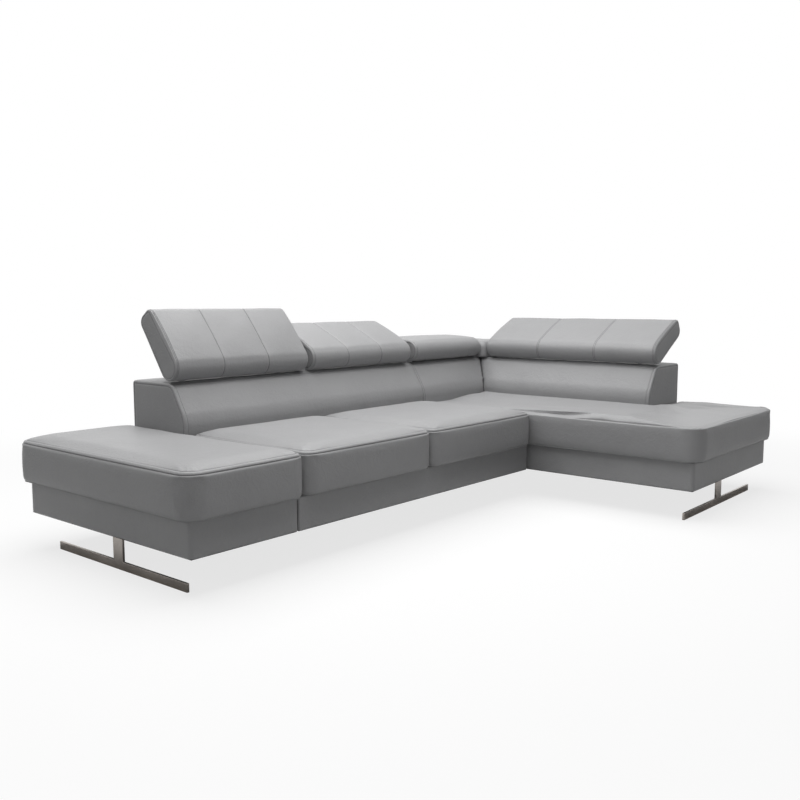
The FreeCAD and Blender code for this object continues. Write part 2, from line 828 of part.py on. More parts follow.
def make_headrest(name, width, panels, tilt, origin, turn, parts):
    """One headrest in its own frame: X along the pin, Y up the slab, Z out of its face."""
    about_z = FreeCAD.Rotation(FreeCAD.Vector(0, 0, 1), turn)
    about_x = FreeCAD.Rotation(FreeCAD.Vector(1, 0, 0), tilt)
    leaning = FreeCAD.Placement(origin, about_z.multiply(about_x))
    upright = FreeCAD.Placement(origin, about_z)
    inset = size("hinge_inset")
    hinges = (inset, width - inset)
    side = size("slab_bend")
    foot = size("board_foot")
    gauge = size("head_board")
    reach = size("head_reach") - side
    arm_rear = -size("arm_width") / 2
    board = Part.makeBox(width - 2 * side, reach - foot, gauge, FreeCAD.Vector(side, foot, arm_rear - gauge))
    pad = slab(width, panels).cut([board] + [hinge_room(x) for x in hinges])
    feature(name + "_pad", pad, leaning)
    feature(name + "_board", board, leaning)
    feature(name + "_hinge_arms", Part.makeCompound([shifted(parts["arm"], x) for x in hinges]), leaning)
    feature(name + "_pivot_bolts", Part.makeCompound([shifted(parts["bolt"], x) for x in hinges]), leaning)
    ears = []
    for x in hinges:
        place = upright.multiply(FreeCAD.Placement(FreeCAD.Vector(x, 0, 0), FreeCAD.Rotation()))
        copy = parts["ear"].copy()
        copy.transformShape(place.toMatrix(), True)
        ears.append(copy)
    return ears


def make_headrests():
    parts = {"ear": ear(), "arm": arm(), "bolt": pivot_bolt()}
    rear = size("axis_rear")
    height = size("axis_height")
    gap = size("headrest_gap")
    raised, middle, lowered = (size(word + "_tilt") for word in ("raised", "middle", "lowered"))
    words = ("one", "two", "three", "four")
    one, two, three, four = (size("headrest_%s_width" % word) for word in words)
    start = size("main_back_left")
    corner = size("back_joint") + size("headrest_start")
    side = size("axis_side")
    side_start = rear - size("head_radius") - gap
    places = (
        (one, 3, raised, FreeCAD.Vector(start, rear, height), 0),
        (two, 3, middle, FreeCAD.Vector(start + one + gap, rear, height), 0),
        (three, 1, lowered, FreeCAD.Vector(corner, rear, height), 0),
        (four, 3, middle, FreeCAD.Vector(side, side_start, height), -90),
    )
    ears = []
    for i, (width, panels, tilt, origin, turn) in enumerate(places, start=1):
        ears += make_headrest("headrest_%d" % i, width, panels, tilt, origin, turn, parts)
    feature("hinge_ears", Part.makeCompound(ears), FreeCAD.Placement())


def export():
    doc.recompute()
    for obj in doc.Objects:
        bad = [state for state in obj.State if state in ("Invalid", "Error")]
        if bad:
            raise RuntimeError("%s is %s" % (obj.Name, bad))
    for piece in nodes:
        if piece.Shape.isNull() or not piece.Shape.isValid():
            raise RuntimeError("%s has no sound shape" % piece.Label)
        if not piece.Shape.Solids:
            raise RuntimeError("%s has no solid" % piece.Label)
    os.makedirs("parts", exist_ok=True)
    for piece in nodes:
        piece.Shape.exportStep("parts/%s.step" % piece.Label)
    box = nodes[0].Shape.BoundBox
    for piece in nodes[1:]:
        box.add(piece.Shape.BoundBox)
    print(len(nodes), "pieces", box)


fill_sheets()
make_bases()
make_bearers()
make_straps()
make_dust_covers()
make_cushions()
make_backs()
make_back_foot_rails()
make_corner_block()
make_legs()
make_feet()
make_joining_plates()
make_headrests()
export()
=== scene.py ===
"""Looks of a grey leather corner sofa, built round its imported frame."""

import json
import math

import bmesh
import bpy
from bpy.props import FloatProperty, FloatVectorProperty, PointerProperty
from mathutils import Matrix, Vector, kdtree, noise


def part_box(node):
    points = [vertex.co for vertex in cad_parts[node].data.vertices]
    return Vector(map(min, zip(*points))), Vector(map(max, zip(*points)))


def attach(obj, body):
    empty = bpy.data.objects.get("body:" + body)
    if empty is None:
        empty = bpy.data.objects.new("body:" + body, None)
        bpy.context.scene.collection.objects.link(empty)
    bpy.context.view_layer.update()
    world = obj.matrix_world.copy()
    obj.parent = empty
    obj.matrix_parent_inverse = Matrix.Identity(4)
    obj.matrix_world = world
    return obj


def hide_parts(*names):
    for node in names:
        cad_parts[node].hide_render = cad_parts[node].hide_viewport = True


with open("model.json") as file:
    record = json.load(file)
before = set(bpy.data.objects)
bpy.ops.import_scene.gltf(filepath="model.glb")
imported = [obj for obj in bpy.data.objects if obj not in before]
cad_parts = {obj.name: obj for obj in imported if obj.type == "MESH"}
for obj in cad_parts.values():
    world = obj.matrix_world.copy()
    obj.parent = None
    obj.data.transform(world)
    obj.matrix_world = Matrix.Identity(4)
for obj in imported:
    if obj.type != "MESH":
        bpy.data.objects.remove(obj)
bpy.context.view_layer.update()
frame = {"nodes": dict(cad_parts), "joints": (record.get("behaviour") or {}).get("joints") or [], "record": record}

bl_info = {
    "name": "Corner sofa",
    "version": (1, 0),
    "blender": (4, 5, 0),
    "location": "3D View > Sidebar > Sofa",
    "description": "Upholsters the frame of a leather corner sofa",
    "category": "Object",
}

SOFA = "sofa"
SEWN = "sewn"
MM = 0.001
MERGE = 0.01 * MM

# Steps of the covers' meshes
PANEL_STEP = 18 * MM
CORNER_STEP = 7 * MM

# Seams
SEAM_HALF = 2 * MM
SEAM_RISE = 1.5 * MM

# Seats; a seam's place is an angle round the top edge, 0 on the side and 90 on the top face
SEAT_SIDE_ROUND = 18 * MM
SEAT_TUCK = 14 * MM
TUCK_ANGLES = (0, 22, 45, 68)
SIDE_LEVELS = 9
SEAT_EDGE_DROP = 27 * MM
SEAT_EDGE_REACH = 41 * MM
TWIN_SEAM = (24, 54)
TWIN_HALF_ANGLE = 3
WELT_SEAM = (26,)
WELT_HALF_ANGLE = 6
WELT_DEEPER = 1.6
SEAM_SHOULDER_ANGLE = 7
BELOW_SEAM_SWELL = 1.5 * MM
TWIN_RIDGE = 1.6 * MM
CROWN_RISE_DISTANCE = 0.11
SEAT_CLEAR = 4 * MM
SEAT_SHIFT = 12 * MM
SEAT_ROWS = (
    ("end_seat_cushion", (75, 42, 45, 60), 0, SEAT_SHIFT),
    ("seat_cushion_one", (60, 45, 60, 60), SEAT_SHIFT, 0),
    ("seat_cushion_two", (45, 45, 60, 60), 0, 0),
)
RETURN_CORNERS = (80, 80, 50, 12, 45, 45)
FILL_PRESSURE = 3.0
FILL_CAP = (2 * MM, 2 * MM, 12 * MM)
FILL_FRAMES = 14

# Back
BACK_REACH = 89 * MM
BACK_KNEE = 505 * MM
BACK_KNEE_ROUND = 120 * MM
BACK_TOP_ROUND = 55 * MM
BACK_END_ROUND = 4 * MM
SWELL_PAST_TOP = 60 * MM
CHEEK_EDGE = 8 * MM
CHEEK_REAR_ROUND = 14 * MM
CHEEK_WELT_INSET = 3 * MM
CHEEK_WELT_DEPTH = 3.5 * MM
JOINT_SEAM = 13 * MM
TOP_ROLL = 4.5 * MM
SHELL_EDGE = 4 * MM
SHELL_STEP = 60 * MM

# Corner pad: share of the height and inset of each level
CORNER_PAD_RADII = (40, 38, 38, 38)
CORNER_PAD_START = 10 * MM
CORNER_PAD_LEVELS = ((0.35, 0), (0.6, 0), (0.72, 3), (0.83, 8), (0.92, 15), (0.98, 24), (1, 34))

# Headrests, in the frame of the slab: X along the pin, Y up the slab, Z out of its face
SLAB_REACH = 271 * MM
SLAB_FOOT = 61 * MM
FOOT_ROLL = -1.2 * MM
SLAB_FRONT = 50 * MM
SLAB_REAR = 46 * MM
SLAB_BEND = 24 * MM
SLAB_REAR_BEND = 40 * MM
HINGE_INSET = 110 * MM
SLOT_HALF = 5 * MM
SLOT_FLOOR = 15 * MM
SLOT_ANGLES = (-134, -24)
BOXED_END_ROUND = 8 * MM
SOFT_END_ROUND = 20 * MM
BOX_SEAM = 12 * MM
BOX_SEAM_WIDTH = 7 * MM
BOX_SEAM_DEPTH = 3 * MM
TWIN_WIDTH = 8 * MM
SLAB_SEAM_DEPTH = 2.2 * MM
BULGE_START = 20 * MM
FOOT_BLEND = 15 * MM
FOOT_SLACK = 3 * MM

# Bases
BASE_BOXES = (
    ("end_base", ("front", "left", "rear", "right"), (18, 8, 8, 18)),
    ("main_base", ("front", "left", "rear", "right"), (8, 8, 8, 8)),
    ("return_base", ("front", "inner", "outer", "rear"), (18, 18, 8, 8)),
)
BASE_EDGE = 5 * MM

# Fasteners
SCREW_HEAD = 5 * MM
SCREW_RISE = 2.6 * MM
SCREW_SIDES = 12
SCREW_CROWN = 0.62
RECESS_INSET = 0.3
EAR_FOOT_START = 52 * MM
EAR_FOOT_DEPTH = 65 * MM
EAR_FOOT_TOP = 65 * MM
EAR_SCREW_SHARES = (0.22, 0.78)
SCREW_ASIDE = 11 * MM
LEG_PLATE_REACH = 96 * MM
LEG_PLATE_HALF = 31 * MM
LEG_PLATE_LEVEL = 140 * MM
LEG_SCREW_SHARES = (0.28, 0.86)
LEG_SCREW_ASIDE = 0.62
JOINING_SCREW_SHARES = (0.12, 0.36, 0.64, 0.88)
STAPLE_PITCH = 60 * MM
STAPLE_INSET = 9 * MM
STAPLE_SIZE = (10 * MM, 1.2 * MM, 0.6 * MM)

# Studio
FLOOR_HALF = 40
FLOOR_FADE = (1.8, 4.2)
FLOOR_SEEN = (0.95, 0.95, 0.95, 1)
FLOOR_BOUNCE = (0.42, 0.42, 0.42, 1)
FLOOR_GLOW = 0.76
FILL_LIGHT = 0.16
LAMPS = (
    ("overhead", (-0.2, 0.5, 3.8), (0, 0, 0), 4.6, 210.0),
    ("from_left", (-4.5, 1.0, 2.4), (0, -68, 0), 2.5, 8.0),
)

# Camera
CAMERA_PLACE = (-3.233, -2.451, 0.994)
CAMERA_YAW = 49.8126
CAMERA_PITCH = 6.3677
CAMERA_ROLL = -0.0816
CAMERA_LENS = 39.52


class SofaLooks(bpy.types.PropertyGroup):
    """Sizes and colours of the covers."""

    leather: FloatVectorProperty(
        name="Leather", description="Colour of the leather", subtype="COLOR",
        size=4, min=0, max=1, default=(0.30, 0.30, 0.305, 1))
    steel: FloatVectorProperty(
        name="Steel", description="Colour of the skid legs", subtype="COLOR",
        size=4, min=0, max=1, default=(0.34, 0.31, 0.285, 1))
    wood: FloatVectorProperty(
        name="Board", description="Colour of the frame boards", subtype="COLOR",
        size=4, min=0, max=1, default=(0.62, 0.45, 0.27, 1))
    seat_crown: FloatProperty(
        name="Seat crown", description="How far the middle of a seat stands above its edge",
        unit="LENGTH", default=8 * MM)
    seat_bulge: FloatProperty(
        name="Seat bulge", description="How far the side of a seat swells",
        unit="LENGTH", default=2 * MM)
    back_bulge: FloatProperty(
        name="Back bulge", description="How far the front of the back swells between seams",
        unit="LENGTH", default=7 * MM)
    headrest_bulge: FloatProperty(
        name="Headrest bulge", description="How far a headrest swells between seams",
        unit="LENGTH", default=12 * MM)
    seam_depth: FloatProperty(
        name="Seam depth", description="How deep a stitched line sinks",
        unit="LENGTH", default=4.5 * MM)
    seam_width: FloatProperty(
        name="Seam width", description="Distance of the two lines of a twin seam",
        unit="LENGTH", default=13 * MM)


def looks():
    return bpy.context.scene.sofa_looks


# Materials

class Field:
    """A value that changes over a surface; arithmetic on it adds Math nodes."""

    def __init__(self, maker, socket):
        self.maker = maker
        self.socket = socket

    def math(self, operation, *values):
        return self.maker.add("ShaderNodeMath", {"operation": operation}, *values)

    def __add__(self, other):
        return self.math("ADD", self, other)

    def __sub__(self, other):
        return self.math("SUBTRACT", self, other)

    def __rsub__(self, other):
        return self.math("SUBTRACT", other, self)

    def __mul__(self, other):
        return self.math("MULTIPLY", self, other)

    def __pow__(self, other):
        return self.math("POWER", self, other)

    def __abs__(self):
        return self.math("ABSOLUTE", self)

    __radd__ = __add__
    __rmul__ = __mul__


class Finish:
    """One material, built from nodes."""

    def __init__(self, name):
        self.material = bpy.data.materials.new(name)
        self.material.use_nodes = True
        self.tree = self.material.node_tree
        self.tree.nodes.clear()

    def add(self, kind, settings, *values, out=0, **named):
        node = self.tree.nodes.new(kind)
        for name, value in settings.items():
            setattr(node, name, value)
        sockets = list(enumerate(values))
        sockets += [(name.replace("_", " "), value) for name, value in named.items()]
        for key, value in sockets:
            self.feed(node.inputs[key], value)
        return Field(self, node.outputs[out])

    def place(self):
        return self.add("ShaderNodeTexCoord", {}, out="Object")

    def noise(self, where, scale, detail=2.0, rough=0.5, distort=0.0):
        return self.add("ShaderNodeTexNoise", {}, Vector=where, Scale=scale,
                        Detail=detail, Roughness=rough, Distortion=distort)

    def mix(self, share, first, second):
        """Mixes two colours; the node keeps its colour sockets at places 6 and 7."""
        mixed = self.add("ShaderNodeMix", {"data_type": "RGBA"}, out=2)
        inputs = mixed.socket.node.inputs
        for key, value in ((0, share), (6, first), (7, second)):
            self.feed(inputs[key], value)
        return mixed

    def feed(self, socket, value):
        if isinstance(value, Field):
            self.tree.links.new(value.socket, socket)
        else:
            socket.default_value = value

    def surface(self, **named):
        shader = self.add("ShaderNodeBsdfPrincipled", {}, **named)
        self.add_output(shader)
        return self.material

    def add_output(self, shader):
        node = self.tree.nodes.new("ShaderNodeOutputMaterial")
        self.tree.links.new(shader.socket, node.inputs["Surface"])


def leather_finish(name, colour):
    """Fine-grained satin leather, uneven in tone, with painted shade along its sunk seams."""
    f = Finish(name)
    where = f.place()
    tone = f.noise(where, 5.0, 3.0)
    cloud = f.noise(where, 38.0, 3.0)
    mottle = f.noise(where, 210.0, 3.0, 0.6)
    # The groove mask marks the sunk seam lines; the colour is darkened there as painted shade.
    seam = f.add("ShaderNodeAttribute", {"attribute_name": "groove"}, out="Fac")
    # Random tone, multiplied by painted shade along the seams.
    tone_and_painted_seam_shade = (0.78 + tone * 0.16 + cloud * 0.08 + mottle * 0.16) * (1 - seam * 0.6)
    base = f.mix(tone_and_painted_seam_shade, (0, 0, 0, 1), colour)
    cells = f.add("ShaderNodeTexVoronoi", {}, Vector=where, Scale=420.0, Randomness=1.0)
    pores = f.noise(where, 900.0, 2.0)
    fold = f.noise(where, 26.0, 4.0, 0.55, 0.6)
    crease = 1 - abs(fold * 2 - 1)
    height = cells * 0.16 + pores * 0.08 + (crease ** 6.0) * 0.5
    bump = f.add("ShaderNodeBump", {}, Strength=0.7, Distance=0.0014, Height=height)
    rough = 0.38 + cloud * 0.10 + mottle * 0.08 + cells * 0.06
    return f.surface(Base_Color=base, Roughness=rough, Normal=bump, Coat_Weight=0.12,
                     Coat_Roughness=0.32, Specular_IOR_Level=0.5)


def steel_finish(name, colour, rough, streak):
    """Rolled or polished steel with faint lengthwise streaks, its colour lighter in broad blotches that are partly
    random tone and partly painted reflection.
    """
    f = Finish(name)
    where = f.place()
    stretched = f.add("ShaderNodeMapping", {}, Vector=where, Scale=streak)
    lines = f.noise(stretched, 60.0, 4.0)
    cloud = f.noise(where, 7.0, 2.0)
    level = rough + lines * 0.08 + cloud * 0.10
    # A lighter copy of the colour, mixed in by broad noise: blotches that are partly random tone and partly
    # painted reflection.
    light = tuple(min(channel * 1.5, 1.0) for channel in colour[:3]) + (1,)
    base = f.mix(cloud * 1.6 - 0.4, colour, light)
    bump = f.add("ShaderNodeBump", {}, Strength=0.1, Distance=0.0002, Height=lines)
    return f.surface(Base_Color=base, Metallic=1.0, Roughness=level, Normal=bump)


def board_finish(name, colour):
    """Pale plywood and sawn wood with long grain."""
    f = Finish(name)
    where = f.place()
    stretched = f.add("ShaderNodeMapping", {}, Vector=where, Scale=(2.0, 18.0, 18.0))
    grain = f.noise(stretched, 9.0, 6.0, 0.6, 0.4)
    fine = f.noise(stretched, 60.0, 3.0)
    share = 0.55 + grain * 0.5 + fine * 0.15
    dark = tuple(channel * 0.45 for channel in colour[:3]) + (1,)
    base = f.mix(share, dark, colour)
    bump = f.add("ShaderNodeBump", {}, Strength=0.3, Distance=0.0004, Height=grain)
    return f.surface(Base_Color=base, Roughness=0.62 + fine * 0.15, Normal=bump)


def woven_finish(name, colour, thread, rough):
    """Plain-woven cloth or strap with crossing threads."""
    f = Finish(name)
    where = f.place()
    across = f.add("ShaderNodeTexWave", {"bands_direction": "X"}, Vector=where, Scale=thread)
    along = f.add("ShaderNodeTexWave", {"bands_direction": "Y"}, Vector=where, Scale=thread)
    weave = across * 0.5 + along * 0.5
    fuzz = f.noise(where, 700.0, 2.0)
    share = 0.6 + weave * 0.35 + fuzz * 0.15
    dark = tuple(channel * 0.5 for channel in colour[:3]) + (1,)
    base = f.mix(share, dark, colour)
    bump = f.add("ShaderNodeBump", {}, Strength=0.5, Distance=0.0005, Height=weave + fuzz * 0.3)
    return f.surface(Base_Color=base, Roughness=rough, Normal=bump)


def plastic_finish(name, colour):
    """Moulded plastic with a fine spark-eroded texture."""
    f = Finish(name)
    where = f.place()
    pits = f.noise(where, 1400.0, 2.0)
    cloud = f.noise(where, 30.0, 2.0)
    bump = f.add("ShaderNodeBump", {}, Strength=0.3, Distance=0.0002, Height=pits)
    light = tuple(channel * 1.5 for channel in colour[:3]) + (1,)
    base = f.mix(cloud, colour, light)
    return f.surface(Base_Color=base, Roughness=0.42 + pits * 0.15, Normal=bump)


FINISHES = {}


def finish(slot):
    """The material of a slot, made when it is first asked for."""
    if slot not in FINISHES:
        FINISHES[slot] = MAKERS[slot](slot)
    return FINISHES[slot]


MAKERS = {
    "seat_leather": lambda name: leather_finish(name, tuple(looks().leather)),
    "headrest_leather": lambda name: leather_finish(name, tuple(looks().leather)),
    "back_leather": lambda name: leather_finish(name, tuple(looks().leather)),
    "base_leather": lambda name: leather_finish(name, tuple(looks().leather)),
    "frame_board": lambda name: board_finish(name, tuple(looks().wood)),
    "webbing": lambda name: woven_finish(name, (0.10, 0.10, 0.11, 1), 320.0, 0.8),
    "dust_cover_cloth": lambda name: woven_finish(name, (0.05, 0.05, 0.05, 1), 600.0, 0.9),
    "black_plastic": lambda name: plastic_finish(name, (0.03, 0.03, 0.03, 1)),
    "polished_steel": lambda name: steel_finish(name, tuple(looks().steel), 0.14, (1.0, 1.0, 5.0)),
    "hinge_steel": lambda name: steel_finish(name, (0.32, 0.32, 0.33, 1), 0.34, (1.0, 8.0, 1.0)),
    "zinc_screws": lambda name: steel_finish(name, (0.62, 0.62, 0.60, 1), 0.28, (1.0, 1.0, 1.0)),
}


# Frame tools

def joint_of(body):
    return [joint for joint in frame["joints"] if joint["child"] == body][0]


def pad_width(body, sideways):
    """The width of a headrest's pad along its pin."""
    low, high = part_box(body + "_pad")
    return high.y - low.y if sideways else high.x - low.x


# Mesh tools

def everything(bm):
    return bm.verts[:] + bm.edges[:] + bm.faces[:]


def verts_of(geometry):
    return [item for item in geometry if isinstance(item, bmesh.types.BMVert)]


def flat_face(points, radii, place):
    """A bmesh with one flat face; place turns a point (u, v) into a point in space."""
    bm = bmesh.new()
    bm.verts.layers.float.new("groove")
    corners = [bm.verts.new(place(u, v)) for u, v in points]
    bm.faces.new(corners)
    for corner, radius in zip(corners, radii):
        if not radius:
            continue
        before, after = [edge.other_vert(corner).co - corner.co for edge in corner.link_edges]
        turn = math.pi - before.angle(after)
        steps = max(3, round(radius * turn / CORNER_STEP))
        bmesh.ops.bevel(bm, geom=[corner], offset=radius * math.tan(turn / 2),
                        segments=steps, profile=0.5, affect="VERTICES",
                        clamp_overlap=False, material=-1)
    bmesh.ops.remove_doubles(bm, verts=bm.verts[:], dist=MM)
    for edge in bm.edges[:]:
        cuts = int(edge.calc_length() / PANEL_STEP)
        if cuts:
            bmesh.ops.subdivide_edges(bm, edges=[edge], cuts=cuts)
    return bm


def thicken(bm, offset):
    """Draws the one face of a bmesh out into a solid and returns its far face."""
    made = bmesh.ops.extrude_face_region(bm, geom=[bm.faces[:][0]])
    bmesh.ops.translate(bm, verts=verts_of(made["geom"]), vec=offset)
    bmesh.ops.recalc_face_normals(bm, faces=bm.faces[:])
    return [item for item in made["geom"] if isinstance(item, bmesh.types.BMFace)][0]


def bar(points, radii, start, stop):
    """A solid along X with the given (y, z) section."""
    bm = flat_face(points, radii, lambda y, z: (start, y, z))
    thicken(bm, (stop - start, 0, 0))
    return bm


def welt(bm, face, inset, depth):
    """A stitched line a little way in from the rim of an end face."""
    groove = bm.verts.layers.float["groove"]
    for thickness, lift, mark in ((inset, 0, 0), (SEAM_HALF, -depth, 1), (SEAM_HALF, depth, 0)):
        bmesh.ops.inset_region(bm, faces=[face], use_even_offset=True, use_boundary=True,
                               thickness=thickness, depth=lift)
        for vert in face.verts:
            vert[groove] = mark


def end_faces(bm):
    return [face for face in bm.faces if abs(face.normal.x) > 0.99]


def round_end(bm, face, radius, steps=4):
    """Rounds the rim of an end face towards its own normal."""
    for step in range(steps):
        here = math.radians(90) * step / steps
        there = math.radians(90) * (step + 1) / steps
        bmesh.ops.inset_region(bm, faces=[face], use_even_offset=True, use_boundary=True,
                               thickness=radius * (math.cos(here) - math.cos(there)),
                               depth=radius * (math.sin(there) - math.sin(here)))


def cut_across(bm, geometry, point, normal):
    return bmesh.ops.bisect_plane(bm, geom=geometry, plane_co=point, plane_no=normal, dist=MERGE)


def slice_along(bm, axis, step=PANEL_STEP):
    """Cuts the whole mesh into even slices across one axis."""
    values = [vert.co[axis] for vert in bm.verts]
    low, high = min(values), max(values)
    count = max(1, round((high - low) / step))
    normal = Vector([axis == k for k in range(3)])
    for k in range(1, count):
        point = normal * (low + (high - low) * k / count)
        cut_across(bm, everything(bm), point, normal)


def grid_faces(bm, faces, step=PANEL_STEP):
    """Divides flat faces into squares."""
    for face in faces:
        region = [face]
        spans = [axis for axis in range(3) if abs(face.normal[axis]) < 0.9]
        for axis in spans:
            values = [vert.co[axis] for vert in face.verts]
            low, high = min(values), max(values)
            count = max(1, round((high - low) / step))
            normal = Vector([axis == k for k in range(3)])
            for k in range(1, count):
                point = normal * (low + (high - low) * k / count)
                parts = {part for item in region for part in (item, *item.edges, *item.verts)}
                cut = cut_across(bm, list(parts), point, normal)
                region = [item for item in cut["geom"] if isinstance(item, bmesh.types.BMFace)]


def sew(bm, place, width, depth, rise=0.0):
    """Sinks one line, or two lines width apart, across a cover at a place on its X axis."""
    groove = bm.verts.layers.float["groove"]
    half = width / 2
    lines = [(-half - SEAM_HALF, 0), (-half, -depth), (half, -depth), (half + SEAM_HALF, 0)]
    if width:
        lines[2:2] = [(SEAM_HALF - half, 0), (0, rise), (half - SEAM_HALF, 0)]
    moved = []
    for offset, lift in lines:
        cut = cut_across(bm, everything(bm), (place + offset, 0, 0), (1, 0, 0))
        if lift:
            moved.append((verts_of(cut["geom_cut"]), lift))
    bm.normal_update()
    for verts, lift in moved:
        for vert in verts:
            if vert.is_valid:
                vert.co += vert.normal * lift
                vert[groove] = 1.0 if lift < 0 else 0.0


def unevenness(bm, amount, size, seed):
    """Lets the leather lie a little uneven."""
    bm.normal_update()
    shift = Vector((seed, 0.37 * seed, 0.71 * seed))
    for vert in bm.verts:
        vert.co += vert.normal * amount * noise.noise(vert.co / size + shift)


def swell(share):
    """A smooth hump from 0 through 1 to 0."""
    return math.sin(math.pi * min(max(share, 0), 1)) ** 0.7


def add_piece(name, bm, body, slot, nodes=(), levels=0, matrix=None):
    """Makes a bmesh a finished piece that rides on a body of the frame."""
    if matrix is not None:
        bmesh.ops.transform(bm, matrix=matrix, verts=bm.verts[:])
    bmesh.ops.recalc_face_normals(bm, faces=bm.faces[:])
    mesh = bpy.data.meshes.new(name)
    bm.to_mesh(mesh)
    bm.free()
    mesh.shade_smooth()
    piece = bpy.data.objects.new(name, mesh)
    bpy.context.scene.collection.objects.link(piece)
    mesh.materials.append(finish(slot))
    if levels:
        subdivide(piece, levels)
    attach(piece, body)
    if nodes:
        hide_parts(*nodes)
    return piece


def subdivide(piece, levels):
    modifier = piece.modifiers.new("smooth cover", "SUBSURF")
    modifier.levels = levels
    modifier.render_levels = levels


def from_node(node):
    """A merged copy of a frame piece, with its flat faces whole again."""
    bm = bmesh.new()
    bm.from_mesh(frame["nodes"][node].data)
    bmesh.ops.remove_doubles(bm, verts=bm.verts[:], dist=MERGE)
    bmesh.ops.dissolve_limit(bm, angle_limit=math.radians(1), verts=bm.verts[:], edges=bm.edges[:])
    bm.verts.layers.float.new("groove")
    return bm


def soften_edges(bm, radius, segments):
    edges = [edge for edge in bm.edges if edge.calc_face_angle(0) > math.radians(25)]
    bmesh.ops.bevel(bm, geom=edges, offset=radius, segments=segments, profile=0.5,
                    affect="EDGES", material=-1)


# Seats

def seat_levels(height, seams):
    """Rise, inset and stitching of a seat's side, from its underside to its top face."""
    sizes = looks()
    levels = []
    for angle in TUCK_ANGLES:
        turn = math.radians(angle)
        rise = SEAT_SIDE_ROUND * (1 - math.cos(turn))
        levels.append((rise, SEAT_TUCK * (1 - math.sin(turn)), 0))
    low = SEAT_SIDE_ROUND
    high = height - SEAT_EDGE_DROP
    for k in range(SIDE_LEVELS):
        share = k / SIDE_LEVELS
        levels.append((low + (high - low) * share, -sizes.seat_bulge * swell(share), 0))
    first, last = seams[0], seams[-1]
    middle = (first + last) / 2
    twin = last > first
    swells = {middle: TWIN_RIDGE, first / 2: BELOW_SEAM_SWELL}
    for seam in seams:
        swells[seam] = -sizes.seam_depth if twin else -WELT_DEEPER * sizes.seam_depth
    half = TWIN_HALF_ANGLE if twin else WELT_HALF_ANGLE
    angles = {0, first / 2, first - SEAM_SHOULDER_ANGLE, (last + 90) / 2, 80, 90}
    for seam in seams:
        angles |= {seam - half, seam, seam + half}
    if twin:
        angles |= {first + SEAM_SHOULDER_ANGLE, middle, last - SEAM_SHOULDER_ANGLE}
    for angle in sorted(angles):
        turn = math.radians(angle)
        lift = swells.get(angle, 0)
        reach = SEAT_EDGE_REACH * (1 - math.cos(turn)) - lift * math.cos(turn)
        rise = high + SEAT_EDGE_DROP * math.sin(turn) + lift * math.sin(turn)
        levels.append((rise, reach, 1 if angle in seams else 0))
    return levels


def seat_mesh(corners, radii, floor, height, seams):
    """A seat cushion from its outline seen from above."""
    levels = seat_levels(height, seams)
    bm = flat_face(corners, [radius * MM for radius in radii], lambda x, y: (x, y, floor))
    groove = bm.verts.layers.float["groove"]
    top = thicken(bm, (0, 0, MM))
    bmesh.ops.translate(bm, verts=list(top.verts), vec=(0, 0, -MM))
    if top.normal.z < 0.9:
        raise RuntimeError("the seat's outline runs the wrong way round")
    bottom = [face for face in bm.faces if face.normal.z < -0.9][0]
    bmesh.ops.inset_region(bm, faces=[bottom], thickness=levels[0][1], depth=0,
                           use_even_offset=True, use_boundary=True)
    rise = 0
    reach = 0
    for next_rise, next_reach, mark in levels[1:]:
        bmesh.ops.inset_region(bm, faces=[top], thickness=next_reach - reach,
                               depth=next_rise - rise, use_even_offset=True, use_boundary=True)
        rise = next_rise
        reach = next_reach
        for vert in top.verts:
            vert[groove] = mark
    rim = kdtree.KDTree(len(top.verts))
    for index, vert in enumerate(top.verts):
        rim.insert(vert.co, index)
    rim.balance()
    grid_faces(bm, [top, bottom])
    bmesh.ops.remove_doubles(bm, verts=bm.verts[:], dist=0.1 * MM)
    crown = looks().seat_crown
    ceiling = floor + height - MM
    for vert in bm.verts:
        if vert.co.z > ceiling:
            distance = rim.find(vert.co)[2]
            vert.co.z += crown * (1 - math.exp(-distance / CROWN_RISE_DISTANCE))
    return bm


def fill_cover(piece, pinned):
    """Blows the cover up from inside between its seams and keeps each point within the cap."""
    scene = bpy.context.scene
    group = piece.vertex_groups.new(name=SEWN)
    group.add(pinned, 1.0, "REPLACE")
    cloth = piece.modifiers.new("filling", "CLOTH")
    cloth.settings.vertex_group_mass = SEWN
    cloth.settings.quality = 4
    cloth.settings.mass = 0.4
    cloth.settings.tension_stiffness = 30
    cloth.settings.compression_stiffness = 30
    cloth.settings.bending_stiffness = 4
    cloth.settings.use_pressure = True
    cloth.settings.uniform_pressure_force = FILL_PRESSURE
    cloth.settings.effector_weights.gravity = 0
    for number in range(1, FILL_FRAMES + 1):
        scene.frame_set(number)
    blown = piece.evaluated_get(bpy.context.evaluated_depsgraph_get()).to_mesh()
    for vert, target in zip(piece.data.vertices, blown.vertices):
        step = target.co - vert.co
        for axis in range(3):
            step[axis] = min(max(step[axis], -FILL_CAP[axis]), FILL_CAP[axis])
        vert.co += step
    piece.modifiers.remove(cloth)
    piece.vertex_groups.clear()
    scene.frame_set(1)


def fill_seat(piece, floor):
    """Fills a seat cover; its seams and its underside stay where they are."""
    grooves = piece.data.attributes["groove"].data
    pinned = []
    for vert in piece.data.vertices:
        if vert.co.z < floor + SEAT_SIDE_ROUND or grooves[vert.index].value > 0.5:
            pinned.append(vert.index)
    fill_cover(piece, pinned)


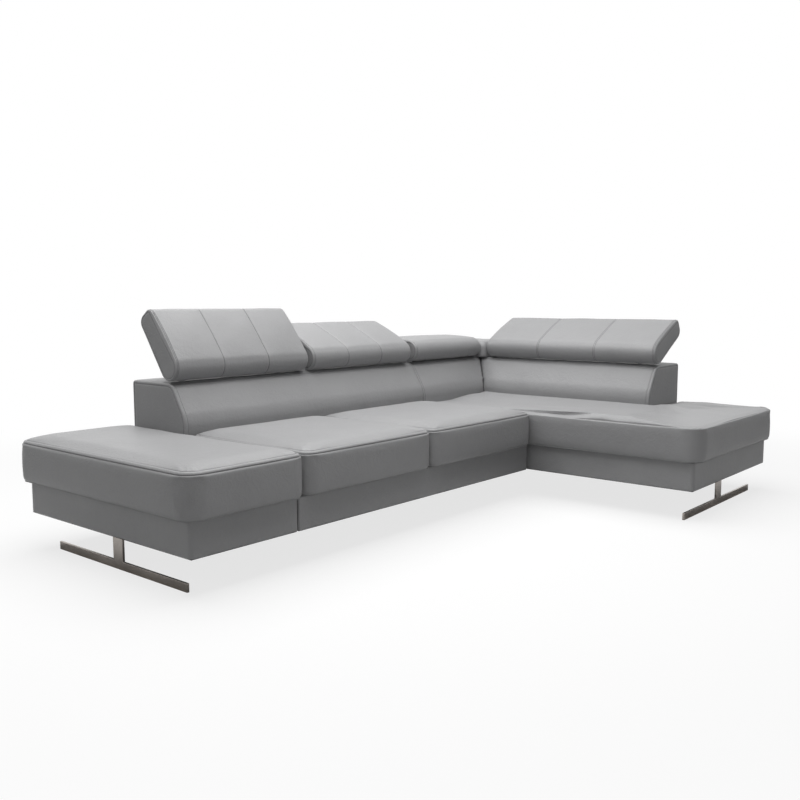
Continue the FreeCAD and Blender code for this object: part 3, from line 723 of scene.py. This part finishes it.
class SOFA_OT_seats(bpy.types.Operator):
    """Sew and fill the four seat cushions"""

    bl_idname = "sofa.seats"
    bl_label = "Seat cushions"

    def execute(self, context):
        for node, radii, left_shift, right_shift in SEAT_ROWS:
            low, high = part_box(node)
            left = low.x + left_shift
            right = high.x + right_shift
            corners = ((left, low.y), (right, low.y), (right, high.y), (left, high.y))
            self.sew_seat(node, corners, radii, low.z, high.z, TWIN_SEAM)
        low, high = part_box("return_seat_cushion")
        notch_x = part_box("return_side_pad")[0].x - SEAT_CLEAR
        notch_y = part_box("return_back_cheek")[0].y - SEAT_CLEAR
        corners = ((low.x, low.y), (high.x, low.y), (high.x, notch_y), (notch_x, notch_y),
                   (notch_x, high.y), (low.x, high.y))
        self.sew_seat("return_seat_cushion", corners, RETURN_CORNERS, low.z, high.z, WELT_SEAM)
        return {"FINISHED"}

    def sew_seat(self, node, corners, radii, floor, ceiling, seams):
        bm = seat_mesh(corners, radii, floor, ceiling - floor, seams)
        unevenness(bm, 1.6 * MM, 0.16, len(node))
        piece = add_piece(node + "_cover", bm, SOFA, "seat_leather", (node,))
        fill_seat(piece, floor)
        subdivide(piece, 1)


# Back

def back_section(depth, rear_round=0.0):
    """Points (y, z) of the back's section with their radii, from the seat's plane upwards."""
    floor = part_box("main_back_pad")[0].z
    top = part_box("main_back_pad")[1].z
    points = ((0, floor), (depth, floor), (depth, top), (BACK_REACH, top), (0, BACK_KNEE))
    radii = (0, 0, rear_round, BACK_TOP_ROUND, BACK_KNEE_ROUND)
    return points, radii


def swell_back(bm, seams, amount):
    """Swells the front of a back between its seams."""
    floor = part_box("main_back_pad")[0].z
    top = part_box("main_back_pad")[1].z
    bm.normal_update()
    for vert in bm.verts:
        if vert.normal.y > -0.05 or abs(vert.normal.x) > 0.6:
            continue
        left = max([seam for seam in seams if seam <= vert.co.x + MERGE], default=seams[0])
        right = min([seam for seam in seams if seam >= vert.co.x - MERGE], default=seams[-1])
        if right - left < MERGE:
            continue
        across = swell((vert.co.x - left) / (right - left))
        up = swell((vert.co.z - floor) / (top - floor + SWELL_PAST_TOP))
        vert.co += vert.normal * amount * across ** 0.6 * up
    for vert in bm.verts:
        if vert.co.z > top - 2 * MM and abs(vert.normal.x) < 0.6:
            vert.co.z += TOP_ROLL * swell((vert.co.y - BACK_REACH) / BACK_REACH + 0.2)


def place_main(start_y):
    return Matrix.Translation((0, start_y, 0))


def place_side(side_x, start_y):
    """Turns a bar along X so that it runs towards the front along the right side."""
    return Matrix.Translation((side_x, start_y, 0)) @ Matrix.Rotation(math.radians(-90), 4, "Z")


def mitre(bm, place, slope):
    """Cuts a back off at the corner of the two backs and closes the cut."""
    cut = bmesh.ops.bisect_plane(bm, geom=everything(bm), plane_co=place, plane_no=slope,
                                 dist=MERGE, clear_outer=True)
    edges = [item for item in cut["geom_cut"] if isinstance(item, bmesh.types.BMEdge)]
    bmesh.ops.edgeloop_fill(bm, edges=edges)


class SOFA_OT_backs(bpy.types.Operator):
    """Sew the padded backs and the cheeks at their open ends"""

    bl_idname = "sofa.backs"
    bl_label = "Backs and cheeks"

    def execute(self, context):
        main_low, main_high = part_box("main_back_pad")
        rear_low, rear_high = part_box("return_rear_pad")
        side_low, side_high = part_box("return_side_pad")
        depth = main_high.y - main_low.y
        self.pad("main_back_cover", "main_back_pad", depth, main_low.x, main_high.x,
                 (), place_main(main_low.y), None, 1)
        self.pad("return_rear_cover", "return_rear_pad", depth, rear_low.x, rear_high.x,
                 (rear_low.x + JOINT_SEAM,), place_main(rear_low.y),
                 (side_low.x, Vector((1, -1, 0))), 2)
        length = side_high.y - side_low.y
        self.pad("return_side_cover", "return_side_pad", depth, 0, length,
                 (), place_side(side_low.x, side_high.y),
                 (side_high.y - rear_low.y, Vector((-1, -1, 0))), 3)
        for node, side in (("main_back_cheek", False), ("return_back_cheek", True)):
            self.cheek(node, side)
        return {"FINISHED"}

    def pad(self, name, node, depth, start, stop, seams, matrix, cut, seed):
        sizes = looks()
        points, radii = back_section(depth)
        bm = bar(points, radii, start, stop)
        for face in end_faces(bm):
            round_end(bm, face, BACK_END_ROUND, 2)
        slice_along(bm, 0)
        swell_back(bm, (start, *seams, stop), sizes.back_bulge)
        unevenness(bm, 1.5 * MM, 0.14, seed)
        for seam in seams:
            sew(bm, seam, sizes.seam_width, sizes.seam_depth, SEAM_RISE)
        if cut:
            mitre(bm, Vector((cut[0], 0, 0)), cut[1])
        add_piece(name, bm, SOFA, "back_leather", (node,), 1, matrix)

    def cheek(self, node, side):
        low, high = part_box(node)
        span = high.y - low.y if side else high.x - low.x
        depth = high.x - low.x if side else high.y - low.y
        points, radii = back_section(depth, CHEEK_REAR_ROUND)
        bm = bar(points, radii, CHEEK_EDGE, span - CHEEK_EDGE)
        for face in end_faces(bm):
            round_end(bm, face, CHEEK_EDGE, 4)
            welt(bm, face, CHEEK_WELT_INSET, CHEEK_WELT_DEPTH)
            grid_faces(bm, [face])
        matrix = place_side(low.x, high.y) if side else Matrix.Translation((low.x, low.y, 0))
        add_piece(node + "_cover", bm, SOFA, "back_leather", (node,), 1, matrix)


class SOFA_OT_shells(bpy.types.Operator):
    """Cover the rear, the side and the top of the back, and the fixed corner pad"""

    bl_idname = "sofa.shells"
    bl_label = "Rear, side and top covers"

    def execute(self, context):
        nodes = ("main_back_rear_panel", "return_back_rear_panel", "return_back_side_panel",
                 "main_back_top_board", "return_rear_top_board", "return_side_top_board")
        for node in nodes:
            bm = from_node(node)
            soften_edges(bm, SHELL_EDGE, 3)
            for axis in range(3):
                slice_along(bm, axis, SHELL_STEP)
            unevenness(bm, 1 * MM, 0.22, len(node))
            add_piece(node + "_cover", bm, SOFA, "back_leather", (node,))
        self.corner_pad()
        return {"FINISHED"}

    def corner_pad(self):
        low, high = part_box("corner_block_pad")
        corners = ((low.x, low.y), (high.x, low.y), (high.x, high.y), (low.x, high.y))
        height = high.z - low.z
        radii = [radius * MM for radius in CORNER_PAD_RADII]
        bm = flat_face(corners, radii, lambda x, y: (x, y, low.z))
        top = thicken(bm, (0, 0, CORNER_PAD_START))
        rise = CORNER_PAD_START
        reach = 0
        for next_rise, next_reach in CORNER_PAD_LEVELS:
            bmesh.ops.inset_region(bm, faces=[top], thickness=next_reach * MM - reach,
                                   depth=next_rise * height - rise, use_even_offset=True,
                                   use_boundary=True)
            rise = next_rise * height
            reach = next_reach * MM
        grid_faces(bm, [top])
        unevenness(bm, 2 * MM, 0.1, 9)
        add_piece("corner_block_cover", bm, SOFA, "back_leather", ("corner_block_pad",), 1)


# Headrests

class Headrest:
    """Where one headrest sits, how it is tilted in the photograph and how it is sewn."""

    def __init__(self, number, turn, tilt, seams, twin, boxed, longer, wider):
        self.body = f"headrest_{number}"
        self.joint = joint_of(self.body)
        self.turn = turn
        self.tilt = tilt
        self.seams = seams
        self.twin = twin
        self.boxed = boxed
        self.reach = SLAB_REACH + longer
        self.hinge_width = pad_width(self.body, turn)
        self.width = self.hinge_width + wider

    def matrix(self):
        return (Matrix.Translation(self.joint["pos_m"])
                @ Matrix.Rotation(math.radians(self.turn), 4, "Z")
                @ Matrix.Rotation(math.radians(self.tilt), 4, "X"))


def slab_mesh(rest):
    """A headrest in the frame of its slab."""
    sizes = looks()
    foot = SLAB_FOOT + FOOT_ROLL
    points = ((-foot, foot), (rest.reach, SLAB_FRONT), (rest.reach, -SLAB_REAR), (-foot, -foot))
    radii = (foot, SLAB_BEND, SLAB_REAR_BEND, foot)
    rounds = [BOXED_END_ROUND if boxed else SOFT_END_ROUND for boxed in rest.boxed]
    bm = bar(points, radii, rounds[0], rest.width - rounds[1])
    for face in end_faces(bm):
        near = face.normal.x < 0
        round_end(bm, face, rounds[0] if near else rounds[1], 5)
        if rest.boxed[0 if near else 1]:
            welt(bm, face, 1 * MM, 3 * MM)
        grid_faces(bm, [face])
    slice_along(bm, 0)
    edges = [rest.width * k / (rest.seams + 1) for k in range(rest.seams + 2)]
    bm.normal_update()
    for vert in bm.verts:
        if vert.normal.z < 0.2 or abs(vert.normal.x) > 0.7:
            continue
        panel = min(int(vert.co.x / rest.width * (rest.seams + 1)), rest.seams)
        share = (vert.co.x - edges[panel]) / (edges[panel + 1] - edges[panel])
        up = swell((vert.co.y + BULGE_START) / (rest.reach + BULGE_START))
        vert.co.z += sizes.headrest_bulge * (0.5 + 0.5 * swell(share)) * up
    return bm, edges


class SOFA_OT_headrests(bpy.types.Operator):
    """Sew the four tilting headrests and slot them for their hinges"""

    bl_idname = "sofa.headrests"
    bl_label = "Headrests"

    def execute(self, context):
        rests = (Headrest(1, 0, 53, 2, False, (True, False), 9 * MM, 0),
                 Headrest(2, 0, 28, 2, False, (True, False), 4 * MM, 0),
                 Headrest(3, 0, 3.5, 0, False, (True, False), 4 * MM, 0),
                 Headrest(4, -90, 28, 2, True, (False, True), 20 * MM, 32 * MM))
        for seed, rest in enumerate(rests):
            self.sew_headrest(rest, seed)
        return {"FINISHED"}

    def sew_headrest(self, rest, seed):
        bm, edges = slab_mesh(rest)
        unevenness(bm, 1.5 * MM, 0.11, seed + 20)
        width = TWIN_WIDTH if rest.twin else 0
        for edge in edges[1:-1]:
            sew(bm, edge, width, SLAB_SEAM_DEPTH)
        for boxed, place in zip(rest.boxed, (BOX_SEAM, rest.width - BOX_SEAM)):
            if boxed:
                sew(bm, place, BOX_SEAM_WIDTH, BOX_SEAM_DEPTH, SEAM_RISE)
        self.smooth(bm)
        self.trim_foot(bm)
        for place in (HINGE_INSET, rest.hinge_width - HINGE_INSET):
            self.slot_for_ear(bm, place)
        node = rest.body + "_pad"
        add_piece(rest.body + "_cover", bm, rest.body, "headrest_leather", (node,),
                  0, rest.matrix())

    def smooth(self, bm):
        """Applies one smooth subdivision to a bmesh."""
        mesh = bpy.data.meshes.new("slab")
        bm.to_mesh(mesh)
        helper = bpy.data.objects.new("slab", mesh)
        bpy.context.scene.collection.objects.link(helper)
        subdivide(helper, 1)
        depsgraph = bpy.context.evaluated_depsgraph_get()
        shown = helper.evaluated_get(depsgraph).to_mesh()
        bm.clear()
        bm.from_mesh(shown)
        bpy.data.objects.remove(helper)
        bpy.data.meshes.remove(mesh)

    def trim_foot(self, bm):
        """Keeps the foot within the radius that clears the back at every tilt."""
        limit = SLAB_FOOT + FOOT_ROLL
        for vert in bm.verts:
            radial = Vector((0, vert.co.y, vert.co.z))
            allowed = limit
            if vert.co.z > 0:
                allowed += FOOT_SLACK * max(0, 1 + vert.co.y / FOOT_BLEND)
            if vert.co.y < 0 and radial.length > allowed:
                radial *= allowed / radial.length
                vert.co = Vector((vert.co.x, radial.y, radial.z))
            elif vert.co.z < -limit:
                vert.co.z = -limit

    def slot_for_ear(self, bm, place):
        """Opens the foot and the rear so that the fixed hinge ear can pass over the whole tilt."""
        for side in (-SLOT_HALF, SLOT_HALF):
            cut_across(bm, everything(bm), (place + side, 0, 0), (1, 0, 0))
        low, high = [math.radians(angle) for angle in SLOT_ANGLES]
        chosen = []
        for face in bm.faces:
            middle = face.calc_center_median()
            angle = math.atan2(middle.z, middle.y)
            if abs(middle.x - place) < SLOT_HALF and low < angle < high:
                chosen.append(face)
        made = bmesh.ops.extrude_face_region(bm, geom=chosen)
        for vert in verts_of(made["geom"]):
            radial = Vector((0, vert.co.y, vert.co.z)).normalized() * SLOT_FLOOR
            vert.co = Vector((vert.co.x, radial.y, radial.z))
        bmesh.ops.delete(bm, geom=[face for face in chosen if face.is_valid], context="FACES")


# Base

class SOFA_OT_bases(bpy.types.Operator):
    """Cover the three upholstered base boxes"""

    bl_idname = "sofa.bases"
    bl_label = "Base covers"

    def execute(self, context):
        for name, sides, radii in BASE_BOXES:
            nodes = [f"{name}_{side}_panel" for side in sides]
            self.cover(name + "_cover", nodes, [radius * MM for radius in radii])
        return {"FINISHED"}

    def cover(self, name, nodes, radii):
        lows, highs = zip(*[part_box(node) for node in nodes])
        low = Vector([min(corner[axis] for corner in lows) for axis in range(3)])
        high = Vector([max(corner[axis] for corner in highs) for axis in range(3)])
        wall = highs[0].y - lows[0].y
        corners = ((low.x, low.y), (high.x, low.y), (high.x, high.y), (low.x, high.y))
        height = high.z - low.z
        bm = flat_face(corners, radii, lambda x, y: (x, y, low.z + BASE_EDGE))
        top = thicken(bm, (0, 0, height / 4 - BASE_EDGE))
        for rise in (height / 4, height / 4, height / 4 - BASE_EDGE):
            bmesh.ops.inset_region(bm, faces=[top], thickness=0, depth=rise,
                                   use_even_offset=True, use_boundary=True)
        bottom = [face for face in bm.faces if face.normal.z < -0.9][0]
        rims = []
        for face in (top, bottom):
            round_end(bm, face, BASE_EDGE, 3)
            bmesh.ops.inset_region(bm, faces=[face], thickness=wall - BASE_EDGE, depth=0,
                                   use_even_offset=True, use_boundary=True)
            rims += face.edges[:]
        bmesh.ops.delete(bm, geom=[top, bottom], context="FACES_ONLY")
        bmesh.ops.bridge_loops(bm, edges=rims)
        unevenness(bm, 1.2 * MM, 0.18, 30 + len(name))
        add_piece(name, bm, SOFA, "base_leather", nodes, 1)


class SOFA_OT_legs(bpy.types.Operator):
    """Ease the edges of the welded skid legs"""

    bl_idname = "sofa.legs"
    bl_label = "Skid legs"

    def execute(self, context):
        for node in ("left_skid_leg", "return_skid_leg"):
            bm = from_node(node)
            soften_edges(bm, 1.0 * MM, 2)
            piece = add_piece(node + "_bright", bm, SOFA, "polished_steel", (node,))
            piece.data.shade_flat()
        return {"FINISHED"}


# Screws and staples

def add_screw(bm, matrix):
    """A screw head with sloping sides and a sunk middle, on the plane of the matrix."""
    made = bmesh.ops.create_cone(bm, cap_ends=True, segments=SCREW_SIDES, radius1=SCREW_HEAD,
                                 radius2=SCREW_HEAD * SCREW_CROWN, depth=SCREW_RISE)
    verts = made["verts"]
    bmesh.ops.translate(bm, verts=verts, vec=(0, 0, SCREW_RISE / 2))
    faces = {face for vert in verts for face in vert.link_faces}
    top = max(faces, key=lambda face: face.calc_center_median().z)
    inner = bmesh.ops.inset_region(bm, faces=[top], thickness=SCREW_HEAD * RECESS_INSET,
                                   depth=0.4 * MM)
    sunk = bmesh.ops.inset_region(bm, faces=[top], thickness=0.3 * MM, depth=-1.6 * MM)
    extra = {vert for face in inner["faces"] + sunk["faces"] + [top] for vert in face.verts}
    bmesh.ops.transform(bm, matrix=matrix, verts=list(extra | set(verts)))


def add_staple(bm, place, along):
    """One staple lying flat under a dust cover."""
    made = bmesh.ops.create_cube(bm, size=1)
    length, width, height = STAPLE_SIZE
    scale = (length, width, height) if along == 0 else (width, length, height)
    bmesh.ops.scale(bm, verts=made["verts"], vec=scale)
    bmesh.ops.translate(bm, verts=made["verts"], vec=place)


class SOFA_OT_fasteners(bpy.types.Operator):
    """Drive the screws of the hinges, the legs and the joining plates, and the staples"""

    bl_idname = "sofa.fasteners"
    bl_label = "Screws and staples"

    def execute(self, context):
        self.hinge_screws()
        self.under_screws()
        self.staples()
        return {"FINISHED"}

    def finish_screws(self, name, bm):
        bm.verts.layers.float.new("groove")
        add_piece(name, bm, SOFA, "zinc_screws")

    def hinge_screws(self):
        bm = bmesh.new()
        for number in range(1, 5):
            body = f"headrest_{number}"
            joint = joint_of(body)
            sideways = abs(joint["axis"][1]) > 0.5
            width = pad_width(body, sideways)
            turn = Matrix.Rotation(math.radians(-90 if sideways else 0), 4, "Z")
            base = Matrix.Translation(joint["pos_m"]) @ turn
            for hinge in (HINGE_INSET, width - HINGE_INSET):
                for aside in (-SCREW_ASIDE, SCREW_ASIDE):
                    for share in EAR_SCREW_SHARES:
                        behind = EAR_FOOT_START + EAR_FOOT_DEPTH * share
                        spot = Matrix.Translation((hinge + aside, behind, -EAR_FOOT_TOP))
                        add_screw(bm, base @ spot)
        self.finish_screws("hinge_foot_screws", bm)

    def under_screws(self):
        bm = bmesh.new()
        down = Matrix.Rotation(math.radians(180), 4, "X")
        for spot in self.leg_spots() + self.plate_spots():
            add_screw(bm, Matrix.Translation(spot) @ down)
        self.finish_screws("leg_and_plate_screws", bm)

    def leg_spots(self):
        """Places of the screws in the top plates of the skid legs."""
        spots = []
        for node, across in (("left_skid_leg", 1), ("return_skid_leg", 0)):
            low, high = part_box(node)
            middle = (low[across] + high[across]) / 2
            for along in LEG_SCREW_SHARES:
                for side in (-LEG_SCREW_ASIDE, LEG_SCREW_ASIDE):
                    start = low[1 - across] + LEG_PLATE_REACH * along
                    spot = [start, middle + LEG_PLATE_HALF * side]
                    if across == 0:
                        spot.reverse()
                    spots.append((*spot, LEG_PLATE_LEVEL))
        return spots

    def plate_spots(self):
        """Places of the screws in the plates that join the units."""
        spots = []
        plates = frame["nodes"]["joining_plates"].data
        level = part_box("joining_plates")[0].z
        corners = {(round(vert.co.x, 4), round(vert.co.y, 4)) for vert in plates.vertices}
        xs = sorted({corner[0] for corner in corners})
        ys = sorted({corner[1] for corner in corners})
        for left, right in zip(xs[::2], xs[1::2]):
            for near, far in zip(ys[::2], ys[1::2]):
                for share in JOINING_SCREW_SHARES:
                    spots.append((left + (right - left) * share, (near + far) / 2, level))
        return spots

    def staples(self):
        bm = bmesh.new()
        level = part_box("dust_covers")[0].z - STAPLE_SIZE[2] / 2
        for name, sides, _ in BASE_BOXES:
            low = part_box(f"{name}_front_panel")[0]
            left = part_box(f"{name}_{sides[1]}_panel")[0].x
            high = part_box(f"{name}_rear_panel")[1]
            xs = (left + STAPLE_INSET, high.x - STAPLE_INSET)
            ys = (low.y + STAPLE_INSET, high.y - STAPLE_INSET)
            for axis, near, far, others in ((0, *xs, ys), (1, *ys, xs)):
                count = int((far - near) / STAPLE_PITCH)
                for other in others:
                    for k in range(1, count):
                        along = near + (far - near) * k / count
                        place = (along, other, level) if axis == 0 else (other, along, level)
                        add_staple(bm, place, axis)
        self.finish_screws("dust_cover_staples", bm)


class SOFA_OT_inner_frame(bpy.types.Operator):
    """Give the boards, straps, hinges and feet their own finishes"""

    bl_idname = "sofa.inner_frame"
    bl_label = "Inner frame"

    def execute(self, context):
        slots = {row["node"]: row["material_slot"] for row in frame["record"]["subparts"]}
        for node, piece in frame["nodes"].items():
            if node not in slots:
                raise RuntimeError(f"the record gives no slot for {node}")
            for holder in piece.material_slots:
                holder.material = finish(slots[node])
        return {"FINISHED"}


class SOFA_OT_studio(bpy.types.Operator):
    """Set the camera, the soft light, the pale floor and the white surroundings"""

    bl_idname = "sofa.studio"
    bl_label = "Studio"

    def execute(self, context):
        self.camera()
        self.floor()
        self.world()
        self.lamps()
        context.scene.view_settings.view_transform = "Standard"
        return {"FINISHED"}

    def camera(self):
        yaw = math.radians(CAMERA_YAW)
        pitch = math.radians(CAMERA_PITCH)
        roll = math.radians(CAMERA_ROLL)
        ahead = Vector((math.sin(yaw) * math.cos(pitch), math.cos(yaw) * math.cos(pitch),
                        -math.sin(pitch)))
        level = Vector((math.cos(yaw), -math.sin(yaw), 0))
        upright = level.cross(ahead)
        right = level * math.cos(roll) + upright * math.sin(roll)
        up = upright * math.cos(roll) - level * math.sin(roll)
        data = bpy.data.cameras.new("camera")
        data.lens = CAMERA_LENS
        data.sensor_width = 36
        camera = bpy.data.objects.new("camera", data)
        bpy.context.scene.collection.objects.link(camera)
        turned = Matrix((right, up, -ahead)).transposed().to_4x4()
        camera.matrix_world = Matrix.Translation(CAMERA_PLACE) @ turned
        bpy.context.scene.camera = camera

    def floor(self):
        bm = bmesh.new()
        bmesh.ops.create_grid(bm, x_segments=1, y_segments=1, size=FLOOR_HALF)
        mesh = bpy.data.meshes.new("floor")
        bm.to_mesh(mesh)
        bm.free()
        floor = bpy.data.objects.new("floor", mesh)
        bpy.context.scene.collection.objects.link(floor)
        f = Finish("pale_floor")
        distance = f.add("ShaderNodeVectorMath", {"operation": "LENGTH"}, f.place(), out="Value")
        fade = f.add("ShaderNodeMapRange", {"interpolation_type": "SMOOTHSTEP"}, Value=distance,
                     From_Min=FLOOR_FADE[0], From_Max=FLOOR_FADE[1])
        ray = f.add("ShaderNodeLightPath", {}, out="Is Camera Ray")
        shine = f.add("ShaderNodeLightPath", {}, out="Is Glossy Ray")
        tone = f.mix(ray.math("MAXIMUM", ray, shine), FLOOR_BOUNCE, FLOOR_SEEN)
        paper = f.add("ShaderNodeBsdfDiffuse", {}, Color=tone)
        white = f.add("ShaderNodeEmission", {}, Color=(1, 1, 1, 1), Strength=1.0)
        shader = f.add("ShaderNodeMixShader", {}, (FLOOR_GLOW + fade * (1 - FLOOR_GLOW)) * ray,
                       paper, white)
        f.add_output(shader)
        mesh.materials.append(f.material)

    def world(self):
        world = bpy.data.worlds.new("surroundings")
        bpy.context.scene.world = world
        world.use_nodes = True
        tree = world.node_tree
        background = tree.nodes["Background"]
        path = tree.nodes.new("ShaderNodeLightPath")
        seen = path.outputs["Is Camera Ray"]
        for kind in ("Is Glossy Ray", "Is Transmission Ray"):
            either = tree.nodes.new("ShaderNodeMath")
            either.operation = "MAXIMUM"
            tree.links.new(seen, either.inputs[0])
            tree.links.new(path.outputs[kind], either.inputs[1])
            seen = either.outputs[0]
        strength = tree.nodes.new("ShaderNodeMapRange")
        tree.links.new(seen, strength.inputs["Value"])
        strength.inputs["To Min"].default_value = FILL_LIGHT
        strength.inputs["To Max"].default_value = 1.0
        tree.links.new(strength.outputs[0], background.inputs["Strength"])
        background.inputs["Color"].default_value = (1, 1, 1, 1)

    def lamps(self):
        for name, place, turn, size, power in LAMPS:
            data = bpy.data.lights.new(name, "AREA")
            data.size = size
            data.energy = power
            lamp = bpy.data.objects.new(name, data)
            lamp.location = place
            lamp.rotation_euler = [math.radians(angle) for angle in turn]
            bpy.context.scene.collection.objects.link(lamp)


OPERATORS = (SOFA_OT_seats, SOFA_OT_backs, SOFA_OT_shells, SOFA_OT_headrests, SOFA_OT_bases,
             SOFA_OT_legs, SOFA_OT_fasteners, SOFA_OT_inner_frame, SOFA_OT_studio)


class SOFA_PT_panel(bpy.types.Panel):
    """Lists the sofa's pieces"""

    bl_label = "Corner sofa"
    bl_space_type = "VIEW_3D"
    bl_region_type = "UI"
    bl_category = "Sofa"

    def draw(self, context):
        column = self.layout.column()
        for name in SofaLooks.__annotations__:
            column.prop(context.scene.sofa_looks, name)
        for operator in OPERATORS:
            column.operator(operator.bl_idname)


CLASSES = (SofaLooks, *OPERATORS, SOFA_PT_panel)


def register():
    for item in CLASSES:
        bpy.utils.register_class(item)
    bpy.types.Scene.sofa_looks = PointerProperty(type=SofaLooks)


def unregister():
    del bpy.types.Scene.sofa_looks
    for item in reversed(CLASSES):
        bpy.utils.unregister_class(item)


def main():
    register()
    for operator in OPERATORS:
        category, name = operator.bl_idname.split(".")
        getattr(getattr(bpy.ops, category), name)()


if __name__ == "__main__":
    main()
